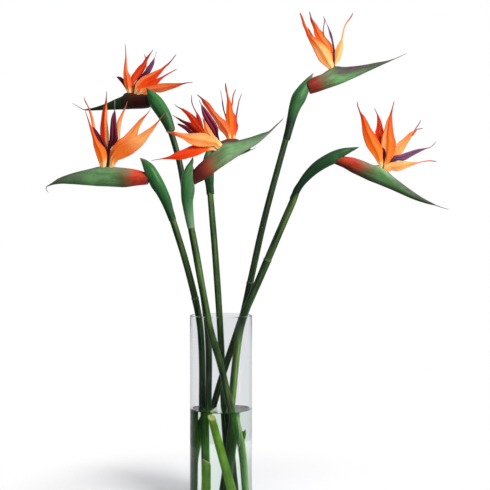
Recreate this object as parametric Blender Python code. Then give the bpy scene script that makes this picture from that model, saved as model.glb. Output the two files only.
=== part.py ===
"""Bird of paradise bouquet standing in a glass cylinder vase of water.

Six flower stalks lean out of a straight-sided glass cylinder.  Every stalk ends
in a neck that turns over into a boat-shaped bract (the spathe), a pointed
sheath wraps the neck, and the sepals and the arrow-shaped inner petals (the
tongues) stand out of the spathe's upper edge.  Two short cut stalks stand
between the stalks under water.

Frame: origin at the centre of the vase's underside, +Z up, +X to the right and
+Y away from the viewer.  The tables below are in millimetres and degrees; the
geometry is built in metres.
"""
import math

import bmesh
import bpy
from mathutils import Matrix, Vector

# ------------------------------------------------------------------ dimensions
MM = 0.001

VASE_OD = 100.0        # outside diameter of the glass cylinder
VASE_H = 300.0         # height of the vase
VASE_WALL = 3.5        # glass wall
VASE_FLOOR = 10.0      # thickness of the glass base
RIM_ROUND = 1.2        # rounding of the rim and of the foot edge
VASE_SIDES = 48
WATER_LEVEL = 149.0    # height of the water above the table
WATER_SIDES = 32
GAP = 0.3              # gap between neighbouring pieces

STEM_SIDES = 10
STEM_STEP = 27.0       # spacing of the sections along a stalk
STEM_FLARE = 1.0       # a stalk's thickness at the spathe, over its own radius

NECK_SECTIONS = 8
SPATHE_SIDES = 10
SPATHE_SECTIONS = 11
SHEATH_SIDES = 10
SHEATH_SECTIONS = 10
BLADE_SECTIONS = 8
SINK = 3.0             # how deep a petal's foot sits in the spathe's upper edge
THREAD = 0.8           # half thickness where the thin thread starts at a spathe's tip

# Each stalk's route from its foot in the vase up to the ring under its sheath.
# Then: radius; neck length, and how late the neck turns (or its points); spathe length, its
# heading at the base, middle and tip (degrees from upright, + to the right),
# its turn away from the viewer, and its height; sheath length, its heading at
# the tip, how late it turns, its lean away from the viewer, and its width.
FLOWERS = {
    "a": dict(
        route=[(-31.5, 12, 10.6), (-31.2, 10, 149), (-31.4, 6, 240),
               (-36, -6, 300), (-56, -22, 388), (-75, -36, 452)],
        radius=5.2, neck=(79, 4.1),
        spathe=(164, -85, -91, -113, 5, 31), sheath=(112, -44, 1.6, -6, 22)),
    "b": dict(
        route=[(-19, -12, 10.6), (-20.2, -2, 149), (-20.4, 12, 240),
               (-25.4, 24, 300), (-39.6, 38, 388), (-57.4, 52, 475), (-72, 62, 555),
               (-86.5, 68, 604)],
        radius=5.2, neck=(71, 1.9),
        spathe=(147, -83, -94, -91, 30, 26), sheath=(85, -41, 0.8, 8, 22)),
    "c": dict(
        route=[(34, -7, 10.6), (28, -11, 90), (14, -16, 160), (-2, -20, 230),
               (-15, -23, 273), (-24, -27, 318), (-37, -31, 389), (-46, -34, 440)],
        radius=5.4, neck=[(-47.2, -34.5, 453.4), (-49.2, -35.2, 466.8), (-50.4, -36, 479.3),
                          (-50.8, -36.8, 489.6), (-50, -37.6, 499), (-47.8, -38.3, 506.8),
                          (-44.2, -39, 512.5)],
        spathe=(170, 44, 66, 42, -6, 28), sheath=(113, 40, 8.0, -4, 22.5)),
    "d": dict(
        route=[(-31, 25, 10.6), (-25, 23, 95), (-13, 17, 149), (1.5, 12, 199),
               (24, 8, 266), (35, 6, 299), (48, 9, 356), (70, 18, 454), (106, 32, 587)],
        radius=5.2, neck=(98, 6.0),
        spathe=(165, 68, 73, 69, 5, 27.5), sheath=(120, 39, 2.3, 2, 21.5)),
    "e": dict(
        route=[(3, 19, 10.6), (16.5, 8, 149), (24.5, -2, 232), (31, -7, 278),
               (38, -10, 303), (61, -16, 357), (88, -24, 421), (115, -31, 484)],
        radius=5.8, neck=[(120, -32.2, 498.4), (127.5, -33.2, 510), (136.5, -34.2, 521.3),
                          (146.8, -35.1, 531.5), (157.8, -35.9, 539.8), (168.4, -36.6, 545.4),
                          (179.4, -37.2, 547.2)],
        spathe=(185, 111, 118, 112, -9, 26), sheath=(137, 85, 1.2, -3, 20.5)),
    "f": dict(
        route=[(10, 32, 10.6), (4, 27, 149), (2, 24.5, 199), (-3, 16, 299),
               (-9, 15, 388), (-18, 22, 495.5)],
        radius=5.2, neck=(71, 9.0),
        spathe=(124, 66, 80, 119, 52, 23), sheath=(80, 34, 6.0, 2, 19)),
}

# Where the edges below are seen from, in millimetres; their across and down
# count in picture units, 948 of which are as wide as the distance.
EYE = (38.7, -1529.0, 421.0)

# Upper and lower edge of each spathe from its base to its tip, and the dry
# thread past the tip; outer and inner edge of each sheath from its ring to its
# tip.  All as seen from the front, in picture units.
OUTLINES = {
    "a": dict(
        top=[(153, 177), (145.3, 172.3), (132, 168.8), (116.7, 167.2), (101.4, 166.7), (87, 169.6),
         (70.8, 173.8), (58.6, 178.4), (50.4, 183.8), (46.6, 186)],
        keel=[(153, 182), (149, 184), (137, 185.4), (121.8, 187), (101.4, 186), (86, 185),
         (70.8, 184), (60, 183.8), (51.6, 185.2), (46.8, 186.9)],
        thread=[(46.2, 188.2), (46.7, 190.3), (48.5, 192.6)],
        outer=
            [(177, 219.5), (174.2, 210.6), (169.6, 195), (162, 179), (154.7, 167),
             (147.2, 160.4), (140, 157.5)],
        inner=[(169.2, 219.5), (164.4, 209), (157, 195), (151, 186.5), (148.4, 180), (144.8, 172),
         (142.4, 165), (139.8, 157.8)]),
    "b": dict(
        top=[(152, 98), (148.9, 95), (136, 94.2), (129, 92.8), (126, 93.6), (123, 96), (115, 99.5),
         (105, 104), (92, 108), (84, 109.4)],
        keel=[(152, 106), (149.6, 107.6), (140, 108.6), (124, 109.2), (109, 109.8), (96, 110.4),
         (90, 110.6), (84, 110.2)],
        thread=[(81, 108.4), (77, 105.9), (72.3, 103.1)],
        outer=[(176, 131.5), (174, 124), (169, 110), (162.7, 100), (155.8, 93), (151, 90),
         (146.4, 87.6)],
        inner=[(166.6, 131.5), (158.6, 118), (151.4, 107.8), (149.2, 101), (148, 95), (146.2, 88)]),
    "c": dict(
        top=[(190, 176), (194.6, 169), (203.6, 160), (212.5, 152), (218, 147.7), (223, 143.4),
         (234.8, 141.2), (248, 138), (261.6, 133.4), (270, 130.2), (276, 124.8), (280.6, 120.8)],
        keel=[(192, 186), (196.5, 183.6), (207, 178), (221.4, 167), (235.7, 157.5), (243.8, 152),
         (257, 144), (265, 137.4), (271, 131.8), (276.4, 126.2), (280.8, 121.4)],
        thread=[(282, 119.8), (283.4, 117.6)],
        outer=[(187.8, 229.5), (184.4, 215), (182, 203), (180.9, 187), (181.6, 177.5),
         (184.6, 169.6), (188.2, 163.4), (192.2, 156.8)],
        inner=[(195, 229.5), (193.9, 215), (193.3, 203), (194.6, 189), (193.9, 178),
         (193.4, 170), (193.2, 163), (192.6, 156.8)]),
    "d": dict(
        top=[(305, 82), (310, 78.6), (320, 75), (327, 70.7), (332.5, 67.2), (346, 67), (364, 65),
         (377, 62.5), (389, 60.2), (394.6, 58.4)],
        keel=[(305, 95), (310, 94), (320, 91), (337, 85), (350.4, 79.5), (368, 71.4), (386, 63.2),
         (394.8, 59.2)],
        thread=[(399, 57), (403, 55), (406.6, 53.6)],
        outer=
            [(281.6, 141.5), (283.7, 134), (287, 118), (289.3, 105.7), (292.3, 95.5),
             (298.6, 86.6), (305.7, 79.3), (313, 73.4)],
        inner=
            [(289.6, 141.5), (291, 136), (294.6, 124), (297.7, 115), (301.2, 107.6),
             (305.2, 101), (307.8, 93.5), (310.4, 83), (313.2, 73.8)]),
    "e": dict(
        top=[(334, 154), (344, 156.3), (354.8, 158), (364.8, 161.5), (373, 165), (379, 165.6),
         (384.7, 168.8), (390.5, 174.4), (399, 181), (411, 190), (423.7, 198.4), (436, 204.8)],
        keel=[(328, 161), (335, 164), (343, 167.4), (353, 173), (365.6, 179), (378, 184),
         (394.6, 191), (411, 198.4), (425, 203.2), (436, 205.8)],
        thread=[(441, 207.2), (448.5, 209.4)],
        outer=[(289.6, 195.5), (295.5, 186), (303.4, 173.7), (313, 163.2), (322.5, 156.5),
         (332, 151.5), (341.7, 148.4), (350, 147.4), (358.8, 146.9)],
        inner=
            [(297.8, 195.5), (303, 187), (311, 178.7), (322.5, 170), (328.3, 166.8),
             (334.8, 163.6), (340.7, 158.6), (347, 154.7), (353, 151), (359, 147.5)]),
    "f": dict(
        top=[(206, 151), (214, 145), (222, 141), (229, 138.8), (236, 139.2), (243, 143),
         (248, 147.2), (251, 149.4)],
        keel=[(208, 158), (216, 158.6), (226, 158), (236, 156.4), (243, 154), (248, 151.8),
         (251, 150.2)],
        thread=[(253.5, 149), (256.3, 147.4)],
        outer=[(207, 195.5), (205.4, 180), (204.6, 167), (205.2, 157), (210, 145)],
        inner=[(213.3, 195.5), (212.8, 185), (212, 170), (212, 160), (212.6, 152), (211.4, 145)]),
}

# Sepals and tongues: offset of the foot away from the viewer, lean away from
# the viewer, kind, and the blade's two edges from foot to tip as seen from the
# front, in picture units.
BLADES = {
    "a": [
        ("sepal_1", -2.6, -8, "orange",
         [(101, 167), (98, 160), (96, 154), (93.7, 146.5), (92.2, 137), (90.2, 130), (88, 121),
          (85.6, 113), (84.9, 109)],
         [(106, 167), (107, 155), (105.8, 149.5), (101, 143.5), (97.3, 138.5), (94.6, 133),
          (92, 127.5), (89.2, 120.5), (86.3, 113), (85.3, 109)]),
        ("sepal_2", 2.6, 10, "peach",
         [(100, 167), (97, 150), (93, 133), (90.5, 118), (88, 108), (85, 102), (83.4, 97)],
         [(105, 167), (101, 150), (97, 136), (95.2, 127), (93.6, 119), (90.9, 111),
          (86.6, 102.5), (83.9, 97)]),
        ("sepal_3", 2.2, 3, "red",
         [(104, 167), (103.6, 155), (102.6, 146), (100.4, 138.5), (100, 130), (101, 119.5),
          (102.7, 109), (104.7, 103.5), (106, 96), (106.3, 91)],
         [(109, 167), (109, 155), (108.8, 145), (109, 136), (108.3, 128), (107.3, 119),
          (107.3, 108), (107, 101), (106.9, 96), (106.9, 91)]),
        ("sepal_4", 2.6, 14, "peach",
         [(109, 167), (112, 155), (114.5, 140), (116.3, 128), (117.4, 121), (120.2, 115.5),
          (123.2, 110), (126, 104.5), (127.2, 101)],
         [(113, 167), (117, 152), (119.7, 139), (120.4, 131), (121.4, 122), (124, 113),
          (126.5, 106), (127.6, 101)]),
        ("sepal_5", 0.2, 8, "orange",
         [(107.8, 167), (108.4, 160), (109.2, 153), (112.2, 147.2), (118.4, 139.8),
          (123, 137), (128.8, 131.2),
          (134.7, 124.8), (140, 119), (145.4, 114.7), (149.2, 110.5), (150.8, 105)],
         [(113, 167), (120, 158), (130, 147), (137.5, 134.5), (138.4, 130.6), (141, 124.3),
          (144.2, 118.7), (149, 112), (151.2, 105)]),
        ("sepal_6", -2.6, -8, "orange",
         [(109, 167), (111.5, 156), (117, 147), (125, 140.5), (132.5, 137), (137.7, 135.2),
          (142, 132.7), (147.7, 129), (153.3, 125), (158, 120.7), (161.8, 116), (164.8, 112.5)],
         [(114, 167), (116.3, 161.5), (121.4, 159.3), (127.4, 156.7), (133.3, 153.3),
          (137.4, 150), (142, 146), (146.7, 140), (150.2, 134.6), (154, 129.5), (158.8, 122),
          (165.3, 113)]),
        ("tongue", -1.6, -2, "tongue",
         [(106.5, 168), (106.7, 158), (107.3, 149), (109.4, 138), (110, 128), (110.8, 120),
          (112.6, 113.6), (113.9, 111.4), (114.3, 109), (114.3, 99.4)],
         [(108.6, 168), (109.3, 157), (110.6, 149.5), (114.6, 144.3), (118, 139.6), (117.7, 133),
          (116.8, 125), (116.3, 118), (115.7, 112.7), (115, 109), (115.1, 99.4)]),
    ],
    "b": [
        ("sepal_1", -2.2, -3, "red",
         [(128, 94), (126.7, 90.4), (125.4, 87.3), (123.8, 83), (123.4, 74), (123.8, 68),
          (124.4, 63), (125.1, 57.5), (125.3, 52), (125, 44)],
         [(131, 94), (131.6, 83), (130.4, 75.5), (128, 71.5), (127.2, 67), (126.9, 63),
          (126.6, 57.5), (126.2, 52), (125.5, 44)]),
        ("sepal_2", 2.6, 11, "red",
         [(129, 94), (129.5, 84), (132, 74.5), (133.8, 72.4), (136, 69.3), (139.2, 65.6),
          (142.2, 63), (144.5, 59.6), (146.3, 57), (149.6, 53.6), (152.9, 49.6)],
         [(132.5, 94), (134, 84), (138.6, 78), (142, 74.4), (146.3, 67), (146.8, 64.6),
          (147.6, 60.4), (149.2, 57.2), (150.8, 54), (153.6, 49.8)]),
        ("sepal_3", 2.4, 6, "red",
         [(133, 95), (133, 88), (134.4, 83.6), (138.4, 79), (143, 75.6), (147.6, 74),
          (151.7, 72.4), (157.4, 69.9), (161.2, 68.2), (164.4, 65.6), (168, 63), (171.2, 60),
          (173.8, 56.7), (176, 54.2)],
         [(139, 95), (147.4, 86.4), (155.4, 79.6), (158.5, 76.1), (160.9, 73.4), (163, 70.7),
          (165.5, 67.7), (169, 64.5), (172.1, 60.7), (174.5, 57.4), (176.6, 54.6)]),
        ("sepal_4", 0.0, 0, "red",
         [(136, 95), (139.5, 88.6), (144.2, 85.8), (149.6, 82.4), (154.8, 79.4), (159.5, 77.4),
          (162.7, 76), (166.4, 74), (170.6, 71.8), (173.8, 70.2), (177, 68.9)],
         [(140, 95), (150, 89.4), (156, 85.4), (159.4, 82), (161.3, 79.8), (164.4, 77),
          (168.6, 74.3), (173.4, 71.4), (177.2, 69.5)]),
        ("sepal_5", -2.8, -8, "red",
         [(138, 94), (141, 88.8), (147.4, 86.8), (154.7, 85), (160, 83.4), (164.3, 83.1),
          (176.9, 83), (183.3, 82.8), (188.5, 82.1), (192.8, 82.1)],
         [(141, 97), (147, 95), (151, 93.2), (157, 92.4), (160.2, 92.7), (164.3, 91.6),
          (169.6, 89.8), (174.8, 88.2), (178.5, 86.6), (183.3, 84.4), (188.5, 83), (192.8, 82.7)]),
        ("tongue_1", -1.4, 1, "tongue",
         [(132.5, 93), (134, 85), (138, 78.3), (141.2, 75.2), (143.8, 72), (145.5, 69.8),
          (146.8, 67), (148.4, 65.6), (150.7, 62.4), (152.8, 59.8), (154.4, 57.4), (156.3, 51)],
         [(134, 94), (136.2, 82.6), (139.7, 79), (143.4, 75.9), (147.6, 74), (150.6, 72.2),
          (151.8, 69.8), (153.4, 66.2), (154.4, 63), (154.8, 59.2), (155.2, 57.4), (157, 51.2)]),
        ("tongue_2", 1.8, 4, "tongue",
         [(127.6, 93.5), (126.7, 91), (125, 88), (122, 83.6), (119, 80), (116.2, 77)],
         [(129.4, 93.5), (128, 91), (126, 85), (123.6, 79), (121, 77), (118.4, 76.4),
          (116.6, 76.4)]),
    ],
    "c": [
        ("sepal_1", -4.4, -22, "orange",
         [(217.5, 149), (214, 146.3), (210, 146.7), (203.3, 146.8), (197.2, 146.4), (192.3, 145),
          (187.8, 142.7), (183.3, 139.4), (178.3, 137.1), (174.4, 135.4), (168.5, 133),
          (165.8, 131.9)],
         [(221.5, 143.5), (218.3, 140.4), (214, 137.8), (210, 135.9), (206, 133.8), (202.6, 133),
          (194.4, 133.1), (185.6, 133.4), (180, 132.7), (174, 131.6), (168.5, 131.6),
          (165.9, 131.3)]),
        ("sepal_2", -3.4, -14, "red",
         [(216, 151), (212.3, 150.2), (205.2, 151.9), (201.7, 153.5), (196.7, 155.8),
          (190, 157.7), (183.3, 159.4), (178.9, 159.9), (173.3, 159.5), (166.7, 159.3),
          (159, 159.6), (151.4, 160.8)],
         [(217, 146), (211, 143), (201, 143), (191.2, 145.7), (185.6, 148.2), (180, 150.7),
          (174.5, 153), (170.6, 155.4), (165, 157.4), (159, 158.8), (151.4, 160.2)]),
        ("sepal_3", 1.6, 4, "red",
         [(213, 146), (206, 139), (198, 131), (193, 126), (190, 121), (188.3, 118.2),
          (186.2, 115), (183.4, 112), (180.7, 109.4), (177.2, 107.2), (174, 104.2)],
         [(218, 144), (210, 137), (204, 129), (199, 121), (195.6, 117), (191.7, 113.8),
          (188.3, 111.3), (184.4, 109.1), (181.1, 107.8), (177.4, 106.2), (174.4, 103.8)]),
        ("sepal_4", 3.4, 10, "crimson",
         [(215, 146), (208, 139), (202, 130), (198, 122), (196.1, 116.5), (196.2, 113.9),
          (194.4, 110.2), (192.8, 106.8), (191.3, 102.2), (191.2, 98.3), (191.4, 94.6)],
         [(219, 143), (213, 139), (207, 135), (204.1, 131), (203, 125.6), (201.7, 120.6),
          (200, 116.6), (197.8, 113.3), (195.8, 110.4), (193.9, 106.8), (192.5, 102.6),
          (192, 98.3), (191.9, 94.6)]),
        ("sepal_5", 4.4, 12, "crimson",
         [(213, 147), (204, 140), (193.3, 132.2), (187.8, 127.2), (183.9, 123.9), (181.1, 122),
          (177.8, 119.3), (174.6, 116.9), (171.9, 115.2)],
         [(217, 144), (206, 135), (196, 127), (190.6, 122.6), (187.8, 121.8), (183.3, 120.2),
          (179.4, 118.2), (174.6, 116), (172.2, 114.6)]),
        ("sepal_6", -2.2, -14, "peach",
         [(217, 147), (211, 140), (206, 134.5), (204.4, 131), (203.6, 124.5), (202.3, 117.5)],
         [(220.4, 143), (217.4, 139), (213.8, 134.6), (209.8, 128), (206.2, 122.2), (203.9, 119),
          (202.7, 117.3)]),
        ("tongue_1", 0.2, -8, "tongue",
         [(218.6, 144), (217.8, 139), (214.4, 135.6), (211.7, 131.2), (208.3, 126.2),
          (205, 120.7), (202.4, 115), (201.6, 111), (201, 107), (200.8, 104.6), (199.8, 102.6),
          (198.6, 99.6)],
         [(220.4, 142.6), (219, 137.3), (218.2, 133.3), (218.4, 130), (217.8, 126.6),
          (216.1, 123.2), (213.3, 119.3), (210, 114.2), (206.2, 109.2), (203.4, 106),
          (201.8, 104.4), (200.6, 102.4), (199.2, 99.2)]),
        ("tongue_2", -0.8, -2, "tongue",
         [(215, 148), (200, 141), (188.4, 133.2), (184.5, 129.6), (181.1, 127.2), (178.4, 125.4),
          (177, 124.1)],
         [(217, 145), (203, 138), (192.3, 131.4), (188.9, 128.2), (185.6, 125.6), (182.2, 124.4),
          (179, 123.4), (177.1, 123.5)]),
    ],
    "d": [
        ("sepal_1", -2.4, -6, "orange",
         [(328.5, 69), (326.5, 67.3), (323.4, 64.8), (320.4, 62.2), (318, 59), (315.5, 54),
          (312.8, 48), (310, 42.5), (307, 36.2), (304.8, 30), (302.9, 25.6), (301.6, 20.5),
          (300.4, 16.5), (299.4, 12.2)],
         [(334, 68), (334, 64.5), (332.8, 60.4), (332.3, 56), (331, 52.4), (329, 49.4),
          (326, 46), (322.5, 42.6), (319, 40), (315.5, 37.6), (312.4, 35), (309.4, 31.4),
          (306.2, 26), (303.8, 19.5), (301.6, 14.5), (300.2, 12.2)]),
        ("sepal_2", 2.4, 2, "orange",
         [(331, 68), (326, 55), (320, 45), (315.6, 37.6), (314.3, 34.5), (313.8, 31.5),
          (313, 27.5), (311.4, 23.6), (310.3, 20.2), (310, 17), (309.5, 14), (309, 11.2)],
         [(334.4, 68), (333.7, 60), (334, 53), (334.8, 49.4), (333, 46), (331, 43.3),
          (327, 38.8), (324.5, 35.6), (323, 32.6), (319.2, 28.8), (316.9, 24.8), (314, 21.3),
          (311.9, 18), (310.7, 14), (309.9, 11.2)]),
        ("sepal_3", 0.2, 2, "peach",
         [(333.8, 67), (333.2, 62), (333, 58.6), (333.7, 54.3), (335, 50), (337.4, 45),
          (339.2, 42.3), (340.9, 39), (341.9, 35), (342.8, 30.6), (343.8, 27), (345.4, 23.6),
          (347.9, 20), (350.8, 16), (352.8, 12.4)],
         [(335.8, 67), (336.8, 63.4), (338.2, 62.3), (340.2, 59.8), (341.4, 56), (342.4, 52),
          (343, 48), (343.3, 44), (343, 40), (343.4, 36), (344, 32), (344.9, 28), (346.6, 24),
          (348.7, 21), (351.6, 17.2), (353.5, 12.9)]),
        ("tongue", -1.8, 0, "tongue",
         [(333.4, 67), (333.2, 58), (332.6, 49), (331.8, 43), (330.8, 39), (329.5, 35),
          (328.5, 30.5), (327.3, 26), (325.9, 23), (324.7, 18.6)],
         [(334.8, 67), (334.8, 58), (334.8, 49), (333.7, 43), (333, 39), (331.8, 34), (330, 30),
          (328.2, 26), (326.6, 23), (325.3, 18.6)]),
    ],
    "e": [
        ("sepal_1", -2.6, -7, "orange",
         [(378.5, 165), (376.7, 161.5), (373.3, 156), (369.3, 150.8), (366, 145.5), (364.3, 141),
          (362.6, 134), (361.9, 127.3), (361.2, 121), (360.2, 115.4), (358.8, 111), (357.3, 106),
          (356.8, 101.4)],
         [(383.5, 167), (383.2, 158), (382.4, 148.6), (381, 145.2), (378.7, 140.5), (375.7, 135),
          (372.6, 131), (370, 126.6), (367, 120.6), (364, 115.6), (360.4, 111.2), (358.4, 106),
          (357.6, 101.4)]),
        ("sepal_2", 2.6, 9, "red",
         [(382, 166), (380, 150), (377, 140), (374.9, 132.7), (376, 129), (376.7, 124.6),
          (377, 120), (376.9, 115.6), (375.6, 111.7), (374, 108)],
         [(385.5, 166), (386.5, 150), (385.5, 140), (383.4, 130), (382, 124), (380.3, 118.7),
          (378.4, 115.3), (376.4, 111.4), (374.5, 108)]),
        ("sepal_3", 0.0, 1, "orange",
         [(383, 167), (382.6, 160), (381.6, 150), (381.2, 143.3), (382, 137), (383.7, 131.2),
          (385, 126.6), (386.4, 121.3), (388.9, 116), (391, 110.6), (392.8, 104.7),
          (393.8, 100.8)],
         [(387.5, 168), (390, 162), (393.2, 155.3), (395.2, 150), (396, 143.4), (395, 139.2),
          (393.7, 134), (392.8, 126.7), (392.4, 120.6), (392.3, 114), (392.9, 108.7),
          (393.8, 104.7), (394.6, 100.8)]),
        ("sepal_4", 2.8, 6, "orange",
         [(386, 168), (391, 157), (395.5, 147), (396.8, 143.8), (400.7, 140.5), (405.3, 136.6),
          (409.3, 132.8), (413.8, 130.4), (415.8, 127.4), (418, 124.4), (420.8, 119.8)],
         [(390, 168), (396, 159), (402.8, 152), (404.8, 148.6), (406.8, 144.6), (409.4, 140.6),
          (412, 136), (414.4, 131.8), (416.6, 128.4), (418.9, 124.8), (421.3, 120.2)]),
        ("sepal_5", -2.6, -10, "orange",
         [(388, 172), (391.5, 170.6), (396.7, 171.2), (400.7, 170.5), (404.7, 168.8),
          (410, 166.7), (416.7, 163.8), (422, 162.2), (428.7, 161.4), (436.8, 161.8)],
         [(386, 165), (391.5, 162.4), (398, 161.2), (403.3, 161), (407.3, 161.6), (412.7, 161.9),
          (418, 162), (422.7, 160.9), (428.7, 160.3), (436.8, 161)]),
        ("tongue", -0.4, -3, "tongue",
         [(392.6, 168), (394.8, 163.3), (396.8, 160.9), (399.4, 160.6), (403.3, 160.8),
          (406.8, 159.4), (410, 157.4), (414.7, 154.8), (420, 152), (426, 149.1), (430.2, 147.9),
          (433.6, 145.2), (436.3, 142)],
         [(389.4, 166), (390.2, 162.6), (392.5, 158.6), (393.8, 155.8), (400, 154.6),
          (404, 153.2), (408, 151.9), (412, 150.6), (416.7, 149.2), (423.3, 148.2), (427, 147.6),
          (430, 146.9), (433, 144.4), (435.9, 141.4)]),
    ],
    "f": [
        ("sepal_1", -2.4, -4, "orange",
         [(229, 141), (228.4, 134), (226.6, 124), (225.8, 117), (226.1, 111), (226.5, 105),
          (226.8, 98), (226.3, 94), (225.2, 89.5), (225, 82.8)],
         [(232.5, 141), (233.5, 127), (233.3, 115), (231.8, 105), (230.7, 101.2), (229.2, 98),
          (227.8, 93.4), (227, 89), (225.8, 82.8)]),
        ("sepal_2", -1.8, -9, "red",
         [(228, 141), (226.3, 137.8), (224.4, 135), (222.5, 132.6), (220.7, 131.2),
          (218.8, 128.8), (217.8, 125.4), (215, 121), (212.1, 116.6), (209.2, 112.4),
          (206.4, 108.2), (204, 105.2), (202.4, 102.4), (201.4, 99.6), (196.6, 94.8)],
         [(231.5, 139), (230.5, 130), (228.5, 124), (226.4, 121.3), (223.5, 119.2),
          (221.1, 117.3), (217.8, 114), (214.5, 110.7), (212.2, 107), (209.7, 103.6),
          (206.4, 100.8), (203, 98.4), (196.9, 93.9)]),
        ("sepal_3", -1.2, 2, "red",
         [(231, 141), (230, 126), (230.4, 115), (231.4, 106), (231.8, 101), (232.2, 98),
          (232.8, 94.8), (234.1, 91.8), (235.7, 88.8)],
         [(234.2, 141), (236, 132), (236.5, 126), (236.5, 119.5), (235.3, 115), (233.6, 112.4),
          (232.7, 109.5), (232.5, 106.5), (233, 103), (233.3, 99), (233.9, 95.2), (235, 92.2),
          (236.3, 89)]),
        ("sepal_4", 2.2, 7, "crimson",
         [(232, 141), (233.5, 130), (235, 121), (235.6, 114.8), (236.3, 111.4), (237.2, 107),
          (238.5, 101.4), (240.3, 96.4), (241.4, 93.6)],
         [(234.5, 141), (236.8, 131.6), (237.8, 129.4), (238.2, 125.8), (237.3, 122.4),
          (237.2, 116.2), (237.7, 112.4), (238.4, 107.6), (239.3, 102.3), (240.9, 97),
          (241.9, 93.8)]),
        ("tongue", 3.4, 6, "tongue",
         [(228.6, 141), (227.6, 128), (225.6, 119), (224.4, 114.4), (223, 109.5), (222, 104),
          (221.7, 99), (221, 95), (220.3, 89.8)],
         [(230, 141), (229.4, 128), (227, 118.4), (225.8, 114.8), (224.6, 111), (223.8, 106.6),
          (222.8, 101), (221.7, 95), (220.9, 89.8)]),
    ],
}

# Short cut stalks under water: foot, top, radius, and how far the cut top slants
# down to the right and towards the viewer.
CUT_STALKS = {
    "cut_stalk_1": ((17, -11, 10.4), (-12, -17, 139), 6.2, (6, 40)),
    "cut_stalk_2": ((-21, -26, 10.4), (-20, -26, 71), 7.6, (32, 0)),
}

# Base colour, roughness, metallic of every material.
COLOURS = {
    "glass": ((0.86, 0.87, 0.90), 0.03, 0.0),
    "water": ((0.78, 0.84, 0.82), 0.02, 0.0),
    "stem": ((0.052, 0.120, 0.048), 0.38, 0.0),
    "sheath": ((0.045, 0.130, 0.052), 0.42, 0.0),
    "spathe": ((0.080, 0.190, 0.080), 0.42, 0.0),
    "cut": ((0.190, 0.330, 0.050), 0.45, 0.0),
    "orange": ((0.900, 0.230, 0.020), 0.48, 0.0),
    "peach": ((0.930, 0.380, 0.150), 0.50, 0.0),
    "red": ((0.820, 0.110, 0.015), 0.48, 0.0),
    "crimson": ((0.480, 0.040, 0.015), 0.50, 0.0),
    "tongue": ((0.050, 0.012, 0.080), 0.45, 0.0),
}
ALPHA = {"glass": 0.30, "water": 0.30}


# --------------------------------------------------------------------- helpers
def clear_scene():
    for obj in list(bpy.data.objects):
        bpy.data.objects.remove(obj, do_unlink=True)


def material(name):
    """One Principled material for one piece, in the colour group's values."""
    group = name[1]
    rgb, rough, metal = COLOURS[group]
    mat = bpy.data.materials.new(name[0])
    mat.use_nodes = True
    bsdf = mat.node_tree.nodes["Principled BSDF"]
    bsdf.inputs["Base Color"].default_value = (*rgb, 1.0)
    bsdf.inputs["Roughness"].default_value = rough
    bsdf.inputs["Metallic"].default_value = metal
    if group in ALPHA:
        bsdf.inputs["Alpha"].default_value = ALPHA[group]
    mat.diffuse_color = (*rgb, ALPHA.get(group, 1.0))
    return mat


def finish(name, bm, group, parent=None, origin=(0.0, 0.0, 0.0), rotation=None, sharp=35.0):
    """Turn a bmesh in metres into a named, smooth-shaded, placed object."""
    bmesh.ops.recalc_face_normals(bm, faces=bm.faces)
    mesh = bpy.data.meshes.new(name)
    bm.to_mesh(mesh)
    bm.free()
    mesh.shade_smooth()
    mesh.set_sharp_from_angle(angle=math.radians(sharp))
    obj = bpy.data.objects.new(name, mesh)
    bpy.context.scene.collection.objects.link(obj)
    if group:
        mesh.materials.append(material((name, group)))
    if parent is not None:
        obj.parent = parent
        obj.location = Vector(origin) - parent.location
    else:
        obj.location = Vector(origin)
    if rotation is not None:
        obj.rotation_euler = rotation.to_euler()
    return obj


def empty(name, location):
    obj = bpy.data.objects.new(name, None)
    bpy.context.scene.collection.objects.link(obj)
    obj.location = location
    return obj


def skin(bm, rings, tip=None):
    """Skin a row of rings with halved quads; flat caps, or a fan to a tip at the end."""
    loops = [[bm.verts.new(p) for p in ring] for ring in rings]
    count = len(loops[0])
    for low, high in zip(loops, loops[1:]):
        for i in range(count):
            j = (i + 1) % count
            bm.faces.new((low[i], low[j], high[j]))
            bm.faces.new((low[i], high[j], high[i]))
    bm.faces.new(list(reversed(loops[0])))
    if tip is None:
        bm.faces.new(loops[-1])
    else:
        point = bm.verts.new(tip)
        last = loops[-1]
        for i in range(count):
            bm.faces.new((last[i], last[(i + 1) % count], point))


def cut(target, cutters):
    """Take hidden cutters out of a piece."""
    for cutter in cutters:
        cutter.hide_render = True
        cutter.display_type = "WIRE"
        mod = target.modifiers.new("cut_" + cutter.name, "BOOLEAN")
        mod.operation = "DIFFERENCE"
        mod.solver = "EXACT"
        mod.object = cutter


def slerp(a, b, t):
    angle = a.angle(b)
    if angle < 1e-6:
        return a.copy()
    s = math.sin(angle)
    return (a * (math.sin((1 - t) * angle) / s) + b * (math.sin(t * angle) / s)).normalized()


def heading(theta, yaw):
    """Unit vector at theta degrees from upright, turned yaw degrees in depth."""
    t, y = math.radians(theta), math.radians(yaw)
    return Vector((math.sin(t) * math.cos(y), abs(math.sin(t)) * math.sin(y), math.cos(t)))


def blend3(a, b, c, t):
    """Value a at 0, b at 1/2 and c at 1, smoothly in between."""
    return a * (1 - t) * (1 - 2 * t) + b * 4 * t * (1 - t) + c * t * (2 * t - 1)


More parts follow.
